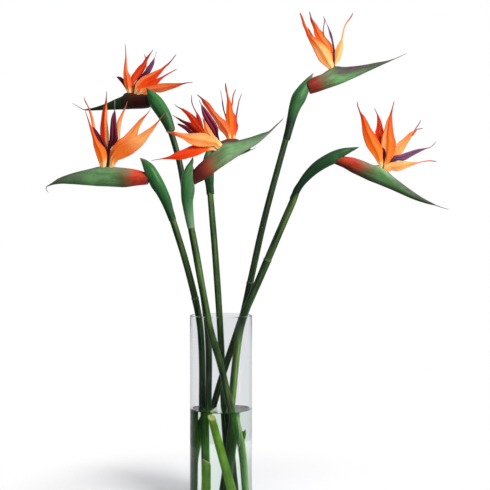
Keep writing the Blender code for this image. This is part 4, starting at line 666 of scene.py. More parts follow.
# ------------------------------------------------------------------- materials
class Skin:
    """A procedural material round one Principled shader."""

    def __init__(self, name, **constants):
        self.mat = bpy.data.materials.new(name)
        self.mat.use_nodes = True
        self.tree = self.mat.node_tree
        self.shader = self.tree.nodes["Principled BSDF"]
        for label, value in constants.items():
            self.shader.inputs[label.replace("_", " ")].default_value = value

    def put(self, socket, value):
        if isinstance(value, bpy.types.NodeSocket):
            self.tree.links.new(value, socket)
        elif isinstance(value, (tuple, list)) and len(value) == 3 and socket.type == "RGBA":
            socket.default_value = (*value, 1.0)
        else:
            socket.default_value = value

    def value(self, label):
        node = self.tree.nodes.new("ShaderNodeAttribute")
        node.attribute_name = label
        return node.outputs["Fac"]

    def grain(self, sx=1.0, sy=1.0, sz=1.0):
        node = self.tree.nodes.new("ShaderNodeAttribute")
        node.attribute_name = "grain"
        scale = self.tree.nodes.new("ShaderNodeVectorMath")
        scale.operation = "MULTIPLY"
        self.put(scale.inputs[0], node.outputs["Vector"])
        scale.inputs[1].default_value = (sx, sy, sz)
        return scale.outputs[0]

    def place(self, scale):
        node = self.tree.nodes.new("ShaderNodeTexCoord")
        times = self.tree.nodes.new("ShaderNodeVectorMath")
        times.operation = "MULTIPLY"
        self.put(times.inputs[0], node.outputs["Object"])
        times.inputs[1].default_value = (scale[0], scale[1], scale[2])
        return times.outputs[0]

    def noise(self, vector, scale=1.0, detail=3.0, rough=0.5, twist=0.0):
        node = self.tree.nodes.new("ShaderNodeTexNoise")
        self.put(node.inputs["Vector"], vector)
        node.inputs["Scale"].default_value = scale
        node.inputs["Detail"].default_value = detail
        node.inputs["Roughness"].default_value = rough
        node.inputs["Distortion"].default_value = twist
        return node.outputs["Fac"]

    def cells(self, vector, scale=1.0):
        node = self.tree.nodes.new("ShaderNodeTexVoronoi")
        self.put(node.inputs["Vector"], vector)
        node.inputs["Scale"].default_value = scale
        return node.outputs["Distance"]

    def maths(self, operation, a, b=0.0, clamp=False):
        node = self.tree.nodes.new("ShaderNodeMath")
        node.operation = operation
        node.use_clamp = clamp
        self.put(node.inputs[0], a)
        self.put(node.inputs[1], b)
        return node.outputs[0]

    def fit(self, value, low, high, new_low=0.0, new_high=1.0):
        node = self.tree.nodes.new("ShaderNodeMapRange")
        node.interpolation_type = "SMOOTHSTEP"
        self.put(node.inputs["Value"], value)
        node.inputs["From Min"].default_value = low
        node.inputs["From Max"].default_value = high
        node.inputs["To Min"].default_value = new_low
        node.inputs["To Max"].default_value = new_high
        return node.outputs["Result"]

    def ramp(self, factor, stops):
        node = self.tree.nodes.new("ShaderNodeValToRGB")
        self.put(node.inputs["Fac"], factor)
        marks = node.color_ramp.elements
        while len(marks) < len(stops):
            marks.new(0.5)
        for mark, (place, colour) in zip(marks, stops):
            mark.position = place
            mark.color = (*colour, 1.0)
        return node.outputs["Color"]

    def mix(self, factor, a, b, how="MIX"):
        node = self.tree.nodes.new("ShaderNodeMix")
        node.data_type = "RGBA"
        node.blend_type = how
        self.put(node.inputs[0], factor)
        self.put(node.inputs[6], a)
        self.put(node.inputs[7], b)
        return node.outputs[2]

    def bump(self, height, strength, distance, under=None):
        node = self.tree.nodes.new("ShaderNodeBump")
        node.inputs["Strength"].default_value = strength
        node.inputs["Distance"].default_value = distance
        self.put(node.inputs["Height"], height)
        if under is not None:
            self.put(node.inputs["Normal"], under)
        return node.outputs["Normal"]

    def finish(self, colour=None, rough=None, normal=None):
        if colour is not None:
            self.put(self.shader.inputs["Base Color"], colour)
        if rough is not None:
            self.put(self.shader.inputs["Roughness"], rough)
        if normal is not None:
            self.put(self.shader.inputs["Normal"], normal)
        return self.mat


def make_stalk_skin(name, level, greens=((0.085, 0.170, 0.026), (0.130, 0.220, 0.045))):
    """Smooth green stalk with lengthwise streaks, pale scars and a pithy cut end, with painted
    highlights and a partly painted grey sheen.
    """
    s = Skin(name, IOR=1.42, Specular_IOR_Level=level)
    tone, mark = s.value("tone"), s.value("mark")
    streak = s.noise(s.grain(0.55, 0.55, 0.018), 1.0, 5.0, 0.62)
    fine = s.noise(s.grain(2.4, 2.4, 0.05), 1.0, 3.0, 0.5)
    patch = s.noise(s.grain(0.05, 0.05, 0.03), 1.0, 3.0, 0.55)
    dark = s.mix(s.fit(patch, 0.35, 0.7), (0.0050, 0.0160, 0.0070), (0.0100, 0.0290, 0.0105))
    light = s.mix(s.fit(patch, 0.35, 0.7), *greens)
    amount = s.maths("ADD", tone, s.fit(streak, 0.35, 0.70, -0.16, 0.28), clamp=True)
    colour = s.mix(amount, dark, light)
    # fine grey-green streaks: partly the stalk's own streaks, partly a painted grey sheen
    colour = s.mix(s.fit(fine, 0.46, 0.72, 0.0, 0.26), colour, (0.125, 0.165, 0.108))
    # painted highlight: where the tone runs above one the stalk turns pale
    pale = s.mix(streak, (0.380, 0.560, 0.230), (0.560, 0.720, 0.440))
    colour = s.mix(s.fit(tone, 1.0, 2.0), colour, pale)
    # the scar rings are paler and a little brown
    scar = s.fit(mark, 0.15, 0.45)
    colour = s.mix(s.maths("MULTIPLY", scar, 0.40), colour, (0.170, 0.190, 0.080))
    # the cut end: pale pith with darker strands
    pith = s.cells(s.grain(1.3, 1.3, 1.3), 1.0)
    cut = s.mix(s.fit(pith, 0.15, 0.45), (0.200, 0.260, 0.055), (0.560, 0.600, 0.260))
    colour = s.mix(s.fit(mark, 0.75, 0.95), colour, cut)
    rough = s.fit(streak, 0.3, 0.75, 0.24, 0.38)
    normal = s.bump(s.maths("ADD", streak, s.maths("MULTIPLY", fine, 0.4)), 0.30, 0.0006)
    return s.finish(colour, rough, normal)


def make_leaf_skin():
    """The neck leaf: waxy deep green with fine parallel veins and a thin dry edge."""
    s = Skin("neck_leaf_green", IOR=1.42, Specular_IOR_Level=0.18)
    along, across, tone = s.value("along"), s.value("across"), s.value("tone")
    vein = s.noise(s.grain(1.15, 1.15, 0.012), 1.0, 3.0, 0.55)
    wide = s.noise(s.grain(0.16, 0.16, 0.012), 1.0, 3.0, 0.55)
    patch = s.noise(s.grain(0.05, 0.05, 0.03), 1.0, 3.0, 0.6)
    base = s.ramp(along, [(0.0, (0.022, 0.066, 0.018)), (0.30, (0.019, 0.090, 0.022)),
                          (0.70, (0.022, 0.120, 0.026)), (1.0, (0.036, 0.100, 0.032))])
    colour = s.mix(s.fit(wide, 0.38, 0.68, 0.0, 0.60), base, (0.048, 0.190, 0.050))
    colour = s.mix(s.fit(vein, 0.50, 0.72, 0.0, 0.25), colour, (0.085, 0.240, 0.080))
    colour = s.mix(s.fit(patch, 0.50, 0.75, 0.0, 0.45), colour, (0.012, 0.062, 0.018))
    # a keel line down the back, and a grey-mauve dry margin near the tip
    side = s.maths("ABSOLUTE", across)
    colour = s.mix(s.fit(side, 0.05, 0.0, 0.0, 0.25), colour, (0.120, 0.260, 0.110))
    # painted shade: the flanks, which turn away, are darker
    colour = s.mix(s.fit(side, 0.35, 0.92, 0.0, 0.50), colour, (0.008, 0.034, 0.013))
    edge = s.maths("MULTIPLY", s.fit(side, 0.84, 0.98), s.fit(along, 0.40, 0.80))
    colour = s.mix(edge, colour, (0.210, 0.170, 0.130))
    tip = s.fit(s.maths("ADD", along, s.maths("MULTIPLY", patch, 0.06)), 0.93, 1.02)
    colour = s.mix(s.maths("MULTIPLY", tip, 0.85), colour, (0.110, 0.100, 0.070))
    # the pale ring where it leaves the stalk
    ring = s.fit(s.maths("ADD", along, s.maths("MULTIPLY", wide, 0.02)), 0.040, 0.014)
    colour = s.mix(s.maths("MULTIPLY", ring, 0.55), colour, (0.150, 0.210, 0.075))
    # painted light: one side of the leaf is lighter, the lit side
    colour = s.mix(s.fit(across, 0.05, 0.75, 0.0, 0.14), colour, (0.150, 0.340, 0.150))
    # darker by the tone, which holds painted shade too; a negative tone is a painted highlight
    colour = s.mix(tone, colour, (0.006, 0.020, 0.009))
    colour = s.mix(s.fit(tone, 0.0, -1.0), colour, (0.200, 0.320, 0.210))
    rough = s.fit(wide, 0.3, 0.7, 0.28, 0.42)
    normal = s.bump(vein, 0.30, 0.0005)
    return s.finish(colour, rough, normal)


def make_bract_skin():
    """The bract: grey-green, scarlet at its base, mauve along its upper edge."""
    s = Skin("bract_green", IOR=1.42, Specular_IOR_Level=0.22)
    along, across = s.value("along"), s.value("across")
    tone, mark = s.value("tone"), s.value("mark")
    vein = s.noise(s.grain(1.0, 1.0, 0.014), 1.0, 3.0, 0.55)
    wide = s.noise(s.grain(0.13, 0.13, 0.018), 1.0, 3.0, 0.55)
    patch = s.noise(s.grain(0.045, 0.045, 0.030), 1.0, 4.0, 0.6)
    colour = s.mix(s.fit(patch, 0.38, 0.66), (0.064, 0.172, 0.048), (0.122, 0.300, 0.104))
    colour = s.mix(s.fit(wide, 0.42, 0.72, 0.0, 0.55), colour, (0.210, 0.330, 0.170))
    colour = s.mix(s.fit(vein, 0.50, 0.72, 0.0, 0.22), colour, (0.230, 0.400, 0.210))
    # painted highlight: the upper flank is paler where the light rests on it
    upper_highlight = s.maths("MULTIPLY", s.fit(across, 0.15, 0.75), s.fit(along, 0.90, 0.45))
    colour = s.mix(s.maths("MULTIPLY", upper_highlight, 0.22), colour, (0.330, 0.400, 0.290))
    # grey towards the tip
    grey = s.fit(s.maths("ADD", along, s.fit(wide, 0.3, 0.7, -0.06, 0.06)), 0.52, 0.88)
    colour = s.mix(s.maths("MULTIPLY", grey, 0.80), colour, s.mix(
        s.fit(across, -0.6, 0.5), (0.028, 0.034, 0.027), (0.052, 0.049, 0.045)))
    # painted light: some are paler on the lower flank, which faces the light
    colour = s.mix(s.fit(tone, 0.0, -1.0), colour, (0.340, 0.440, 0.310))
    # mauve upper edge
    mauve = s.maths("MULTIPLY", mark, s.fit(wide, 0.15, 0.60, 0.75, 1.0), clamp=True)
    purple = s.mix(s.fit(vein, 0.35, 0.70), (0.036, 0.030, 0.024), (0.088, 0.073, 0.062))
    colour = s.mix(mauve, colour, purple)
    # dark keel line
    keel = s.fit(s.maths("SUBTRACT", across, s.maths("MULTIPLY", patch, 0.08)), -0.84, -0.97)
    colour = s.mix(s.maths("MULTIPLY", keel, 0.55), colour, (0.100, 0.040, 0.025))
    # scarlet base, whose length is in the tone of each bract
    reach = s.maths("ADD", along, s.fit(wide, 0.25, 0.75, -0.05, 0.05))
    red = s.fit(reach, 0.32, 0.15)
    scarlet = s.mix(s.fit(patch, 0.38, 0.66), (0.380, 0.028, 0.011), (0.620, 0.056, 0.022))
    scarlet = s.mix(s.fit(vein, 0.48, 0.66, 0.0, 0.55), scarlet, (0.120, 0.014, 0.008))
    # a brown zone where the scarlet meets the green
    colour = s.mix(s.fit(reach, 0.42, 0.28, 0.0, 0.70), colour, s.mix(
        s.fit(across, -0.10, 0.55), (0.110, 0.062, 0.026), (0.190, 0.085, 0.060)))
    colour = s.mix(red, colour, scarlet)
    colour = s.mix(s.maths("MULTIPLY", s.fit(reach, 0.08, 0.0), 0.30), colour,
                   (0.090, 0.020, 0.012))
    # painted shade by the tone: a bract that stands in shade, its underside and the inside of its
    # slit are darker, and some are darker at the base
    colour = s.mix(tone, colour, s.mix(s.fit(along, 0.40, 0.12), (0.010, 0.024, 0.006),
                                       (0.020, 0.006, 0.005)))
    # the dry thread at the tip
    thread = s.fit(along, 0.955, 1.0)
    colour = s.mix(thread, colour, (0.120, 0.105, 0.095))
    rough = s.fit(wide, 0.3, 0.7, 0.46, 0.62)
    normal = s.bump(vein, 0.30, 0.0005)
    return s.finish(colour, rough, normal)


def make_sepal_skin(name, heart, base, deep, edge):
    """A sepal: cream foot, glowing middle, deeper outer part, brown-red edge and tip; its pale heart
    is partly painted light and its fold line partly painted shade.
    """
    s = Skin(name, IOR=1.38, Specular_IOR_Level=0.07, Subsurface_Weight=0.06, Subsurface_Scale=0.003)
    s.shader.inputs["Subsurface Radius"].default_value = (1.0, 0.35, 0.12)
    along, across = s.value("along"), s.value("across")
    tone, mark = s.value("tone"), s.value("mark")
    vein = s.noise(s.grain(1.4, 1.4, 0.022), 1.0, 3.0, 0.6)
    wide = s.noise(s.grain(0.22, 0.22, 0.020), 1.0, 3.0, 0.6)
    patch = s.noise(s.grain(0.07, 0.07, 0.030), 1.0, 3.0, 0.6)
    place = s.maths("ADD", along, s.fit(wide, 0.25, 0.75, -0.06, 0.06))
    colour = s.ramp(place, [(0.0, (0.84, 0.60, 0.27)), (0.06, (0.90, 0.54, 0.23)),
                            (0.13, heart), (0.30, base), (0.70, deep), (0.88, edge),
                            (1.0, (0.165, 0.095, 0.100))])
    side = s.maths("ABSOLUTE", across)
    # pale heart between the middle line and the edges, partly the blade's own colour and partly
    # painted light
    pale_lit_heart = s.maths("MULTIPLY", s.fit(side, 0.80, 0.25), s.fit(place, 0.80, 0.30))
    colour = s.mix(s.maths("MULTIPLY", pale_lit_heart, 0.22), colour, heart)
    colour = s.mix(s.fit(patch, 0.48, 0.78, 0.0, 0.50), colour, deep)
    colour = s.mix(s.fit(vein, 0.50, 0.74, 0.0, 0.18), colour, edge)
    # per-blade lightness, which holds the painted light of a lit half, then edges
    pale = s.maths("MULTIPLY", tone, s.fit(place, 0.94, 0.70))
    colour = s.mix(pale, colour, s.mix(s.fit(place, 0.85, 0.35), (0.87, 0.25, 0.058),
                                       (0.93, 0.43, 0.145)))
    # painted shade, with the mid-rib's own colour: a darker line in the crease of the fold
    fold = s.fit(side, 0.085, 0.0)
    colour = s.mix(s.maths("MULTIPLY", fold, 0.18), colour, deep)
    rim = s.maths("MULTIPLY", s.fit(side, 0.76, 0.96), mark)
    colour = s.mix(rim, colour, (0.260, 0.034, 0.018))
    rough = s.fit(wide, 0.3, 0.7, 0.36, 0.55)
    normal = s.bump(s.maths("ADD", vein, s.maths("MULTIPLY", fold, -0.4)), 0.32, 0.0005)
    return s.finish(colour, rough, normal)


def make_tongue_skin():
    """An arrow petal: near-black foot, purple blade, thin pale style."""
    s = Skin("arrow_purple", IOR=1.38, Specular_IOR_Level=0.16)
    along, across = s.value("along"), s.value("across")
    tone, mark = s.value("tone"), s.value("mark")
    vein = s.noise(s.grain(1.4, 1.4, 0.022), 1.0, 3.0, 0.6)
    wide = s.noise(s.grain(0.22, 0.22, 0.022), 1.0, 3.0, 0.6)
    place = s.maths("ADD", along, s.fit(wide, 0.25, 0.75, -0.05, 0.05))
    rose = s.ramp(place, [(0.0, (0.060, 0.007, 0.006)), (0.34, (0.026, 0.002, 0.004)),
                          (0.52, (0.050, 0.003, 0.010)), (0.72, (0.130, 0.007, 0.026)),
                          (0.87, (0.130, 0.030, 0.070)), (0.93, (0.260, 0.190, 0.230)),
                          (1.0, (0.330, 0.260, 0.280))])
    violet = s.ramp(place, [(0.0, (0.050, 0.006, 0.006)), (0.30, (0.022, 0.002, 0.006)),
                            (0.50, (0.070, 0.008, 0.036)), (0.68, (0.145, 0.046, 0.112)),
                            (0.87, (0.120, 0.045, 0.110)), (0.93, (0.260, 0.200, 0.250)),
                            (1.0, (0.330, 0.260, 0.280))])
    colour = s.mix(mark, rose, violet)
    bright = s.mix(mark, (0.230, 0.013, 0.045), (0.165, 0.060, 0.130))
    lit = s.maths("MULTIPLY", s.fit(place, 0.34, 0.56), s.fit(place, 0.93, 0.86))
    colour = s.mix(s.maths("MULTIPLY", tone, lit), colour, bright)
    colour = s.mix(s.maths("MULTIPLY", s.fit(vein, 0.52, 0.75, 0.0, 0.22), lit), colour, bright)
    # painted shade: darker along the groove between the two lobes
    side = s.maths("ABSOLUTE", across)
    colour = s.mix(s.fit(side, 0.10, 0.0, 0.0, 0.45), colour, (0.018, 0.002, 0.006))
    rough = s.fit(wide, 0.3, 0.7, 0.40, 0.58)
    normal = s.bump(vein, 0.30, 0.0005)
    return s.finish(colour, rough, normal)


def make_cut_skin():
    """A short cut stalk: yellow-green skin with streaks, pale ringed end."""
    s = Skin("cut_stalk_green", IOR=1.42, Specular_IOR_Level=0.05)
    mark, along = s.value("mark"), s.value("along")
    streak = s.noise(s.grain(0.55, 0.55, 0.020), 1.0, 4.0, 0.6)
    patch = s.noise(s.grain(0.06, 0.06, 0.035), 1.0, 3.0, 0.55)
    colour = s.mix(s.fit(patch, 0.35, 0.7), (0.062, 0.195, 0.012), (0.170, 0.380, 0.038))
    colour = s.mix(s.fit(streak, 0.42, 0.74, 0.0, 0.55), colour, (0.240, 0.380, 0.040))
    colour = s.mix(s.fit(along, 0.90, 1.0, 0.0, 0.45), colour, (0.330, 0.420, 0.080))
    pith = s.cells(s.grain(1.2, 1.2, 1.2), 1.0)
    cut = s.mix(s.fit(pith, 0.15, 0.45), (0.300, 0.360, 0.070), (0.640, 0.660, 0.280))
    colour = s.mix(s.fit(mark, 0.70, 0.95), colour, cut)
    rough = s.fit(streak, 0.3, 0.75, 0.28, 0.46)
    normal = s.bump(streak, 0.35, 0.0006)
    return s.finish(colour, rough, normal)


def make_glass():
    """Clear, faintly cool glass, with the slow unevenness of a drawn cylinder."""
    s = Skin("vase_glass", Transmission_Weight=1.0, Roughness=0.0, IOR=1.18)
    s.shader.inputs["Base Color"].default_value = (0.975, 0.978, 0.985, 1.0)
    s.shader.inputs["Specular Tint"].default_value = (0.34, 0.34, 0.36, 1.0)
    slow = s.noise(s.place((9, 9, 2.2)), 1.0, 2.0, 0.5)
    normal = s.bump(slow, 0.10, 0.0008)
    volume = s.tree.nodes.new("ShaderNodeVolumeAbsorption")
    volume.inputs["Color"].default_value = (0.66, 0.74, 0.76, 1.0)
    volume.inputs["Density"].default_value = 9.0
    out = next(n for n in s.tree.nodes if n.type == "OUTPUT_MATERIAL")
    s.tree.links.new(volume.outputs[0], out.inputs["Volume"])
    return s.finish(normal=normal)


def make_water():
    """Clear water with a trace of green, almost still."""
    s = Skin("vase_water", Transmission_Weight=1.0, Roughness=0.0, IOR=1.333)
    s.shader.inputs["Base Color"].default_value = (0.930, 0.982, 0.932, 1.0)
    s.shader.inputs["Specular Tint"].default_value = (0.36, 0.40, 0.36, 1.0)
    ripple = s.noise(s.place((38, 38, 38)), 1.0, 2.0, 0.5)
    normal = s.bump(ripple, 0.05, 0.0008)
    volume = s.tree.nodes.new("ShaderNodeVolumeAbsorption")
    volume.inputs["Color"].default_value = (0.62, 0.80, 0.66, 1.0)
    volume.inputs["Density"].default_value = 3.0
    out = next(n for n in s.tree.nodes if n.type == "OUTPUT_MATERIAL")
    s.tree.links.new(volume.outputs[0], out.inputs["Volume"])
    return s.finish(normal=normal)


STALK = make_stalk_skin("stalk_green", 0.15)
WET = make_stalk_skin("stalk_green_wet", 0.04, ((0.048, 0.190, 0.014), (0.088, 0.270, 0.026)))
LEAF = make_leaf_skin()
BRACT = make_bract_skin()
TONGUE = make_tongue_skin()
CUT = make_cut_skin()
GLASS = make_glass()
WATER = make_water()
SEPALS = {
    "orange": make_sepal_skin("sepal_orange", (0.84, 0.182, 0.022), (0.81, 0.134, 0.011),
                              (0.70, 0.067, 0.005), (0.30, 0.032, 0.010)),
    "peach": make_sepal_skin("sepal_peach", (0.92, 0.44, 0.165), (0.86, 0.295, 0.076),
                             (0.77, 0.172, 0.040), (0.34, 0.075, 0.038)),
    "red": make_sepal_skin("sepal_red", (0.75, 0.092, 0.009), (0.67, 0.042, 0.005),
                           (0.52, 0.023, 0.003), (0.25, 0.021, 0.010)),
    "crimson": make_sepal_skin("sepal_crimson", (0.66, 0.052, 0.012), (0.50, 0.016, 0.007),
                               (0.30, 0.010, 0.007), (0.11, 0.014, 0.016)),
}


# ------------------------------------------------------------------ the flower
def spathe_shape(t):
    if t < 0.32:
        return 0.45 + 0.55 * math.sin(math.pi / 2 * t / 0.32)
    return max(0.0, 1 - ((t - 0.32) / 0.68) ** 1.5)


def sheath_shape(t):
    if t < 0.56:
        return 0.5 + 0.5 * math.sin(math.pi / 2 * t / 0.56)
    return max(0.0, math.cos(math.pi / 2 * (t - 0.56) / 0.44)) ** 0.8


def seen_on(place, across, down):
    """Where a point seen from the front at (across, down) lies on a blade's plane.

    The plane is local X and Z of place; gives local x and z in mm.
    """
    back = place.inverted()
    eye = back @ Vector(EYE)
    ray = back.to_3x3() @ Vector((across - 245.0, 948.0, 240.0 - down))
    q = eye - ray * (eye.y / ray.y)
    return q.x, q.z


def seen_at(p):
    """Where a point in mm is seen from the front, across and down."""
    far = (p[1] - EYE[1]) / 948.0
    return 245.0 + (p[0] - EYE[0]) / far, 240.0 + (EYE[2] - p[2]) / far


def edge_along(path, normal, ups, points):
    """Distances along a path, and heights over it, of an edge seen from the front.

    The edge is taken to lie in the plane of the path, square to normal.
    """
    lengths = [0.0]
    for a, b in zip(path, path[1:]):
        lengths.append(lengths[-1] + (b - a).length)
    dirs = tangents(path)
    table = []
    for across, down in points:
        ray = Vector((across - 245.0, 948.0, 240.0 - down))
        eye = Vector(EYE)
        q = eye + ray * ((path[len(path) // 2] - eye).dot(normal) / ray.dot(normal))
        i = min(range(len(path)), key=lambda k: (path[k] - q).length)
        s = lengths[i] + (q - path[i]).dot(dirs[i])
        h = (q - path[i]).dot(ups[i])
        if not table or s > table[-1][0] + 0.4:
            table.append((s, h))
    return table


class Flower:
    """Curves that a flower's stalk, neck, bract and neck leaf share."""

    def __init__(self, key):
        spec = FLOWERS[key]
        self.key, self.radius, self.spec = key, spec["radius"], spec
        coarse = smooth_route(spec["route"], 27.0)
        self.ring = coarse[-1]
        self.up_stem = tangents(coarse)[-1]
        s_len, h0, h1, h2, yaw, self.height = spec["spathe"]
        self.length = s_len
        first = heading(h0, yaw)
        neck = [self.ring]
        if len(spec["neck"]) == 2:
            length, late = spec["neck"]
            for k in range(8):
                d = slerp(self.up_stem, first, ((k + 0.5) / 8) ** late)
                neck.append(neck[-1] + d * (length / 8))
        else:
            neck += [Vector(p) for p in spec["neck"]]
        self.route = smooth_route(coarse + neck[1:], 4.0)
        self.axis, self.dirs = [neck[-1]], []
        n = 60
        for k in range(n):
            d = heading(blend3(h0, h1, h2, (k + 0.5) / n), yaw)
            self.dirs.append(d)
            self.axis.append(self.axis[-1] + d * (s_len / n))
        self.dirs.append(self.dirs[-1])
        self.sign = 1 if h0 > 0 else -1
        sh_len, sh_head, sh_late, sh_lean, self.sheath_width = spec["sheath"]
        end = heading(sh_head, sh_lean)
        hood = [self.ring]
        for k in range(10):
            d = slerp(self.up_stem, end, ((k + 0.5) / 10) ** sh_late)
            hood.append(hood[-1] + d * (sh_len / 10))
        self.hood = smooth_route(hood, sh_len / 60)
        look = OUTLINES[key]
        # the bract's upper and lower edge, measured from its axis
        ups, sides = [], []
        for k in range(61):
            p, d, up, side = self.spathe_frame(self.length * k / 60)
            ups.append(up)
            sides.append(side)
        self.top = edge_along(self.axis, sides[30], ups, look["top"])
        self.keel = edge_along(self.axis, sides[30], ups, look["keel"])
        self.reach = max(self.top[-1][0], self.keel[-1][0])
        hairs = [self.plane_point(self.axis[30], sides[30], q) for q in look["thread"]]
        self.thread = hairs
        # the neck leaf's edges, measured from its middle line
        hdirs = tangents(self.hood)
        up0 = (Vector((0, 0, 1)) - self.dirs[0] * self.dirs[0].z).normalized()
        self.leaf_ups = [(up0 - d * up0.dot(d)).normalized() for d in hdirs]
        mid = len(self.hood) // 2
        normal = hdirs[mid].cross(self.leaf_ups[mid]).normalized()
        if abs(normal.y) > 0.6:
            edges = [edge_along(self.hood, normal, self.leaf_ups, look[k])
                     for k in ("outer", "inner")]
            edges.sort(key=lambda e: -sum(h for _, h in e))
            self.sheath_length = max(e[-1][0] for e in edges)
        else:
            # a leaf seen nearly edge on keeps its plain form
            self.sheath_length = sh_len
            edges = [[(sh_len * t, sign * self.sheath_width / 2 * sheath_shape(t))
                      for t in (k / 12 for k in range(13))] for sign in (1, -1)]
        self.leaf_high, self.leaf_low = edges

    @staticmethod
    def plane_point(at, normal, seen):
        """The point of a plane that is seen from the front at seen."""
        ray = Vector((seen[0] - 245.0, 948.0, 240.0 - seen[1]))
        eye = Vector(EYE)
        return eye + ray * ((at - eye).dot(normal) / ray.dot(normal))

    def lip(self, distance):
        return curve(self.top, distance)

    @staticmethod
    def on_path(path, distance):
        """Point and direction at a distance along a path, straight on past its end."""
        left = distance
        for a, b in zip(path, path[1:]):
            step = (b - a).length
            if left <= step:
                break
            left -= step
        else:
            a, b = path[-2], path[-1]
            step = (b - a).length
            left += step
        d = (b - a).normalized()
        return a + d * left, d

    def spathe_frame(self, distance):
        f = max(0.0, min(59.999, distance / self.length * 60))
        i = int(f)
        p = self.axis[i].lerp(self.axis[i + 1], f - i)
        a, b = self.dirs[i], self.dirs[min(59, i + 1)]
        d = a.lerp(b, f - i).normalized()
        if distance > self.length:
            p = self.axis[-1] + d * (distance - self.length)
        up = (Vector((0, 0, 1)) - d * d.z).normalized()
        return p, d, up, d.cross(up).normalized()


def ring_frame(direction):
    side = direction.cross(Vector((0, 1, 0))).normalized()
    return side, side.cross(direction).normalized()


def build_stalk(flower, index):
    """A round stalk with nodes, from its cut foot to inside the bract's base."""
    look = STALK_LOOKS[flower.key]
    piece = Piece("stalk_" + flower.key)
    path = flower.route
    dirs = tangents(path)
    total = sum((b - a).length for a, b in zip(path, path[1:]))
    at_ring = min(range(len(path)), key=lambda i: (path[i] - flower.ring).length)
    sides = 32
    seed = index * 19.0
    rings, s = [], 0.0
    steps = []
    for i, p in enumerate(path):
        if i:
            s += (p - path[i - 1]).length
        steps.append((i, p, dirs[i], s))
    ring_s = steps[at_ring][3]
    # extra sections round each node, so that its ridge is crisp
    rows = [(p, d, s) for _, p, d, s in steps]
    for height in look["nodes"]:
        k = min(range(at_ring), key=lambda i: abs(path[i].z - height))
        for shift in (-2.6, -1.5, -0.9, -0.45, 0.45, 0.9, 1.6):
            rows.append((path[k] + dirs[k] * shift, dirs[k], steps[k][3] + shift))
    rows.sort(key=lambda r: r[2])
    kept = [rows[0]]
    for row in rows[1:]:
        if row[2] - kept[-1][2] > 0.25:
            kept.append(row)
    for n, (p, d, s) in enumerate(kept):
        body = min(1.0, s / ring_s)
        r = flower.radius * (1.06 - 0.06 * body)
        r *= 1 + 0.018 * wave(s / 38.0, seed)
        mark = 0.0
        tone = look["middle"] + (look["ring"] - look["middle"]) * math.exp(
            -max(0.0, ring_s - s) / 24.0) * ease(ring_s + 12, ring_s, s)
        # painted light and shade: below the rim the tone moves to how the stalk looks through the
        # glass
        tone += (look["glass"] - tone) * ease(292, 250, p.z)
        wet = ease(WATER_LEVEL + 6, WATER_LEVEL - 12, p.z)
        tone = tone + (look["wet"] - tone) * wet
        for height in look["nodes"]:
            off = p.z - height
            r += 0.75 * math.exp(-(off / 1.3) ** 2) + 0.35 * math.exp(-abs(off + 6) / 7.0) \
                * (1 if off < 0 else math.exp(-off / 1.0))
            mark = max(mark, 0.5 * math.exp(-(off / 1.6) ** 2))
            if off > 0:
                tone += 0.16 * math.exp(-off / 22.0) * (1 - wet)
        if n == 0:
            r *= 0.94
        side, up = ring_frame(d)
        ring = []
        for k in range(sides):
            a = 2 * math.pi * k / sides
            rr = r * (1 + 0.016 * math.cos(2 * a + s / 60 + seed) + 0.007 * math.cos(5 * a + seed)
                      + 0.005 * math.sin(11 * a + seed + s / 200))
            q = p + side * (rr * math.cos(a)) + up * (rr * math.sin(a))
            if n == 0:
                q = q + d * ((p.z - q.z) / d.z)
            # painted light: a highlight band down one side of the stalk and darker edges; under
            # water one side is painted light and the other painted shade
            streak = math.exp(-((math.cos(a) - look.get("streak", -0.40)) / 0.42) ** 2)
            ring.append(piece.vert(
                q, body, k / sides, tone * ((1 - wet) * (0.30 + 1.05 * streak)
                                            + wet * (1 - 0.90 * math.cos(a))), mark,
                (r * math.cos(a) + seed, r * math.sin(a) + seed * 0.37, s)))
        rings.append(ring)
    piece.skin(rings)
    # the cut foot, slightly hollow
    low = rings[0]
    inner = [piece.vert(flower_point(piece.co[i], path[0], 0.86) + Vector((0, 0, 0.25)),
                        0, 0, 0, 1.0, piece.grain[i]) for i in low]
    piece.band(inner, low)
    piece.close(inner, flip=True, mark=1.0)
    piece.close(rings[-1])
    if flower.key == "c":
        add_stub(piece, flower)
    return piece.make(STALK, ["stem_" + flower.key], wet=WET)


def flower_point(q, centre, share):
    """A point moved towards a centre."""
    return centre + (q - centre) * share


def add_stub(piece, flower):
    """The torn foot of a cut side leaf on the middle stalk, under water."""
    at = min(range(len(flower.route)), key=lambda i: abs(flower.route[i].z - 92))
    base = flower.route[at]
    d = tangents(flower.route)[at]
    side, up = ring_frame(d)
    if side.x < 0:
        side = -side
    rows = []
    for k in range(13):
        t = k / 12
        centre = base + d * (26.0 * t) + side * (1.0 + 5.2 * ease(0.0, 0.9, t))
        half = 2.0 + 2.6 * ease(0.0, 0.8, t)
        thick = 2.4 - 1.0 * t
        row = []
        for j in range(20):
            a = 2 * math.pi * j / 20
            x = half * math.cos(a)
            y = thick * math.sin(a) * (0.75 + 0.25 * math.cos(a) ** 2)
            lift = 0.0
            if k == 12:
                lift = 1.8 * abs(math.cos(a)) - 1.4 * (1 - abs(math.cos(a)))
            q = centre + side * x * 0.9 + up * y + d * lift
            row.append(piece.vert(q, 0.5, j / 20, 0.8, 0.62 if k == 12 else 0.0,
                                  (x * 1.5, y * 1.5, 26.0 * t)))
        rows.append(row)
    piece.skin(rows)
    piece.close(rows[0], flip=True)
    dip = [piece.vert(flower_point(piece.co[i], base + d * 24.0 + side * 6.2, 0.6) - d * 2.0,
                      0.5, 0, 0.5, 1.0, piece.grain[i]) for i in rows[-1]]
    piece.band(rows[-1], dip)
    piece.close(dip, mark=1.0)


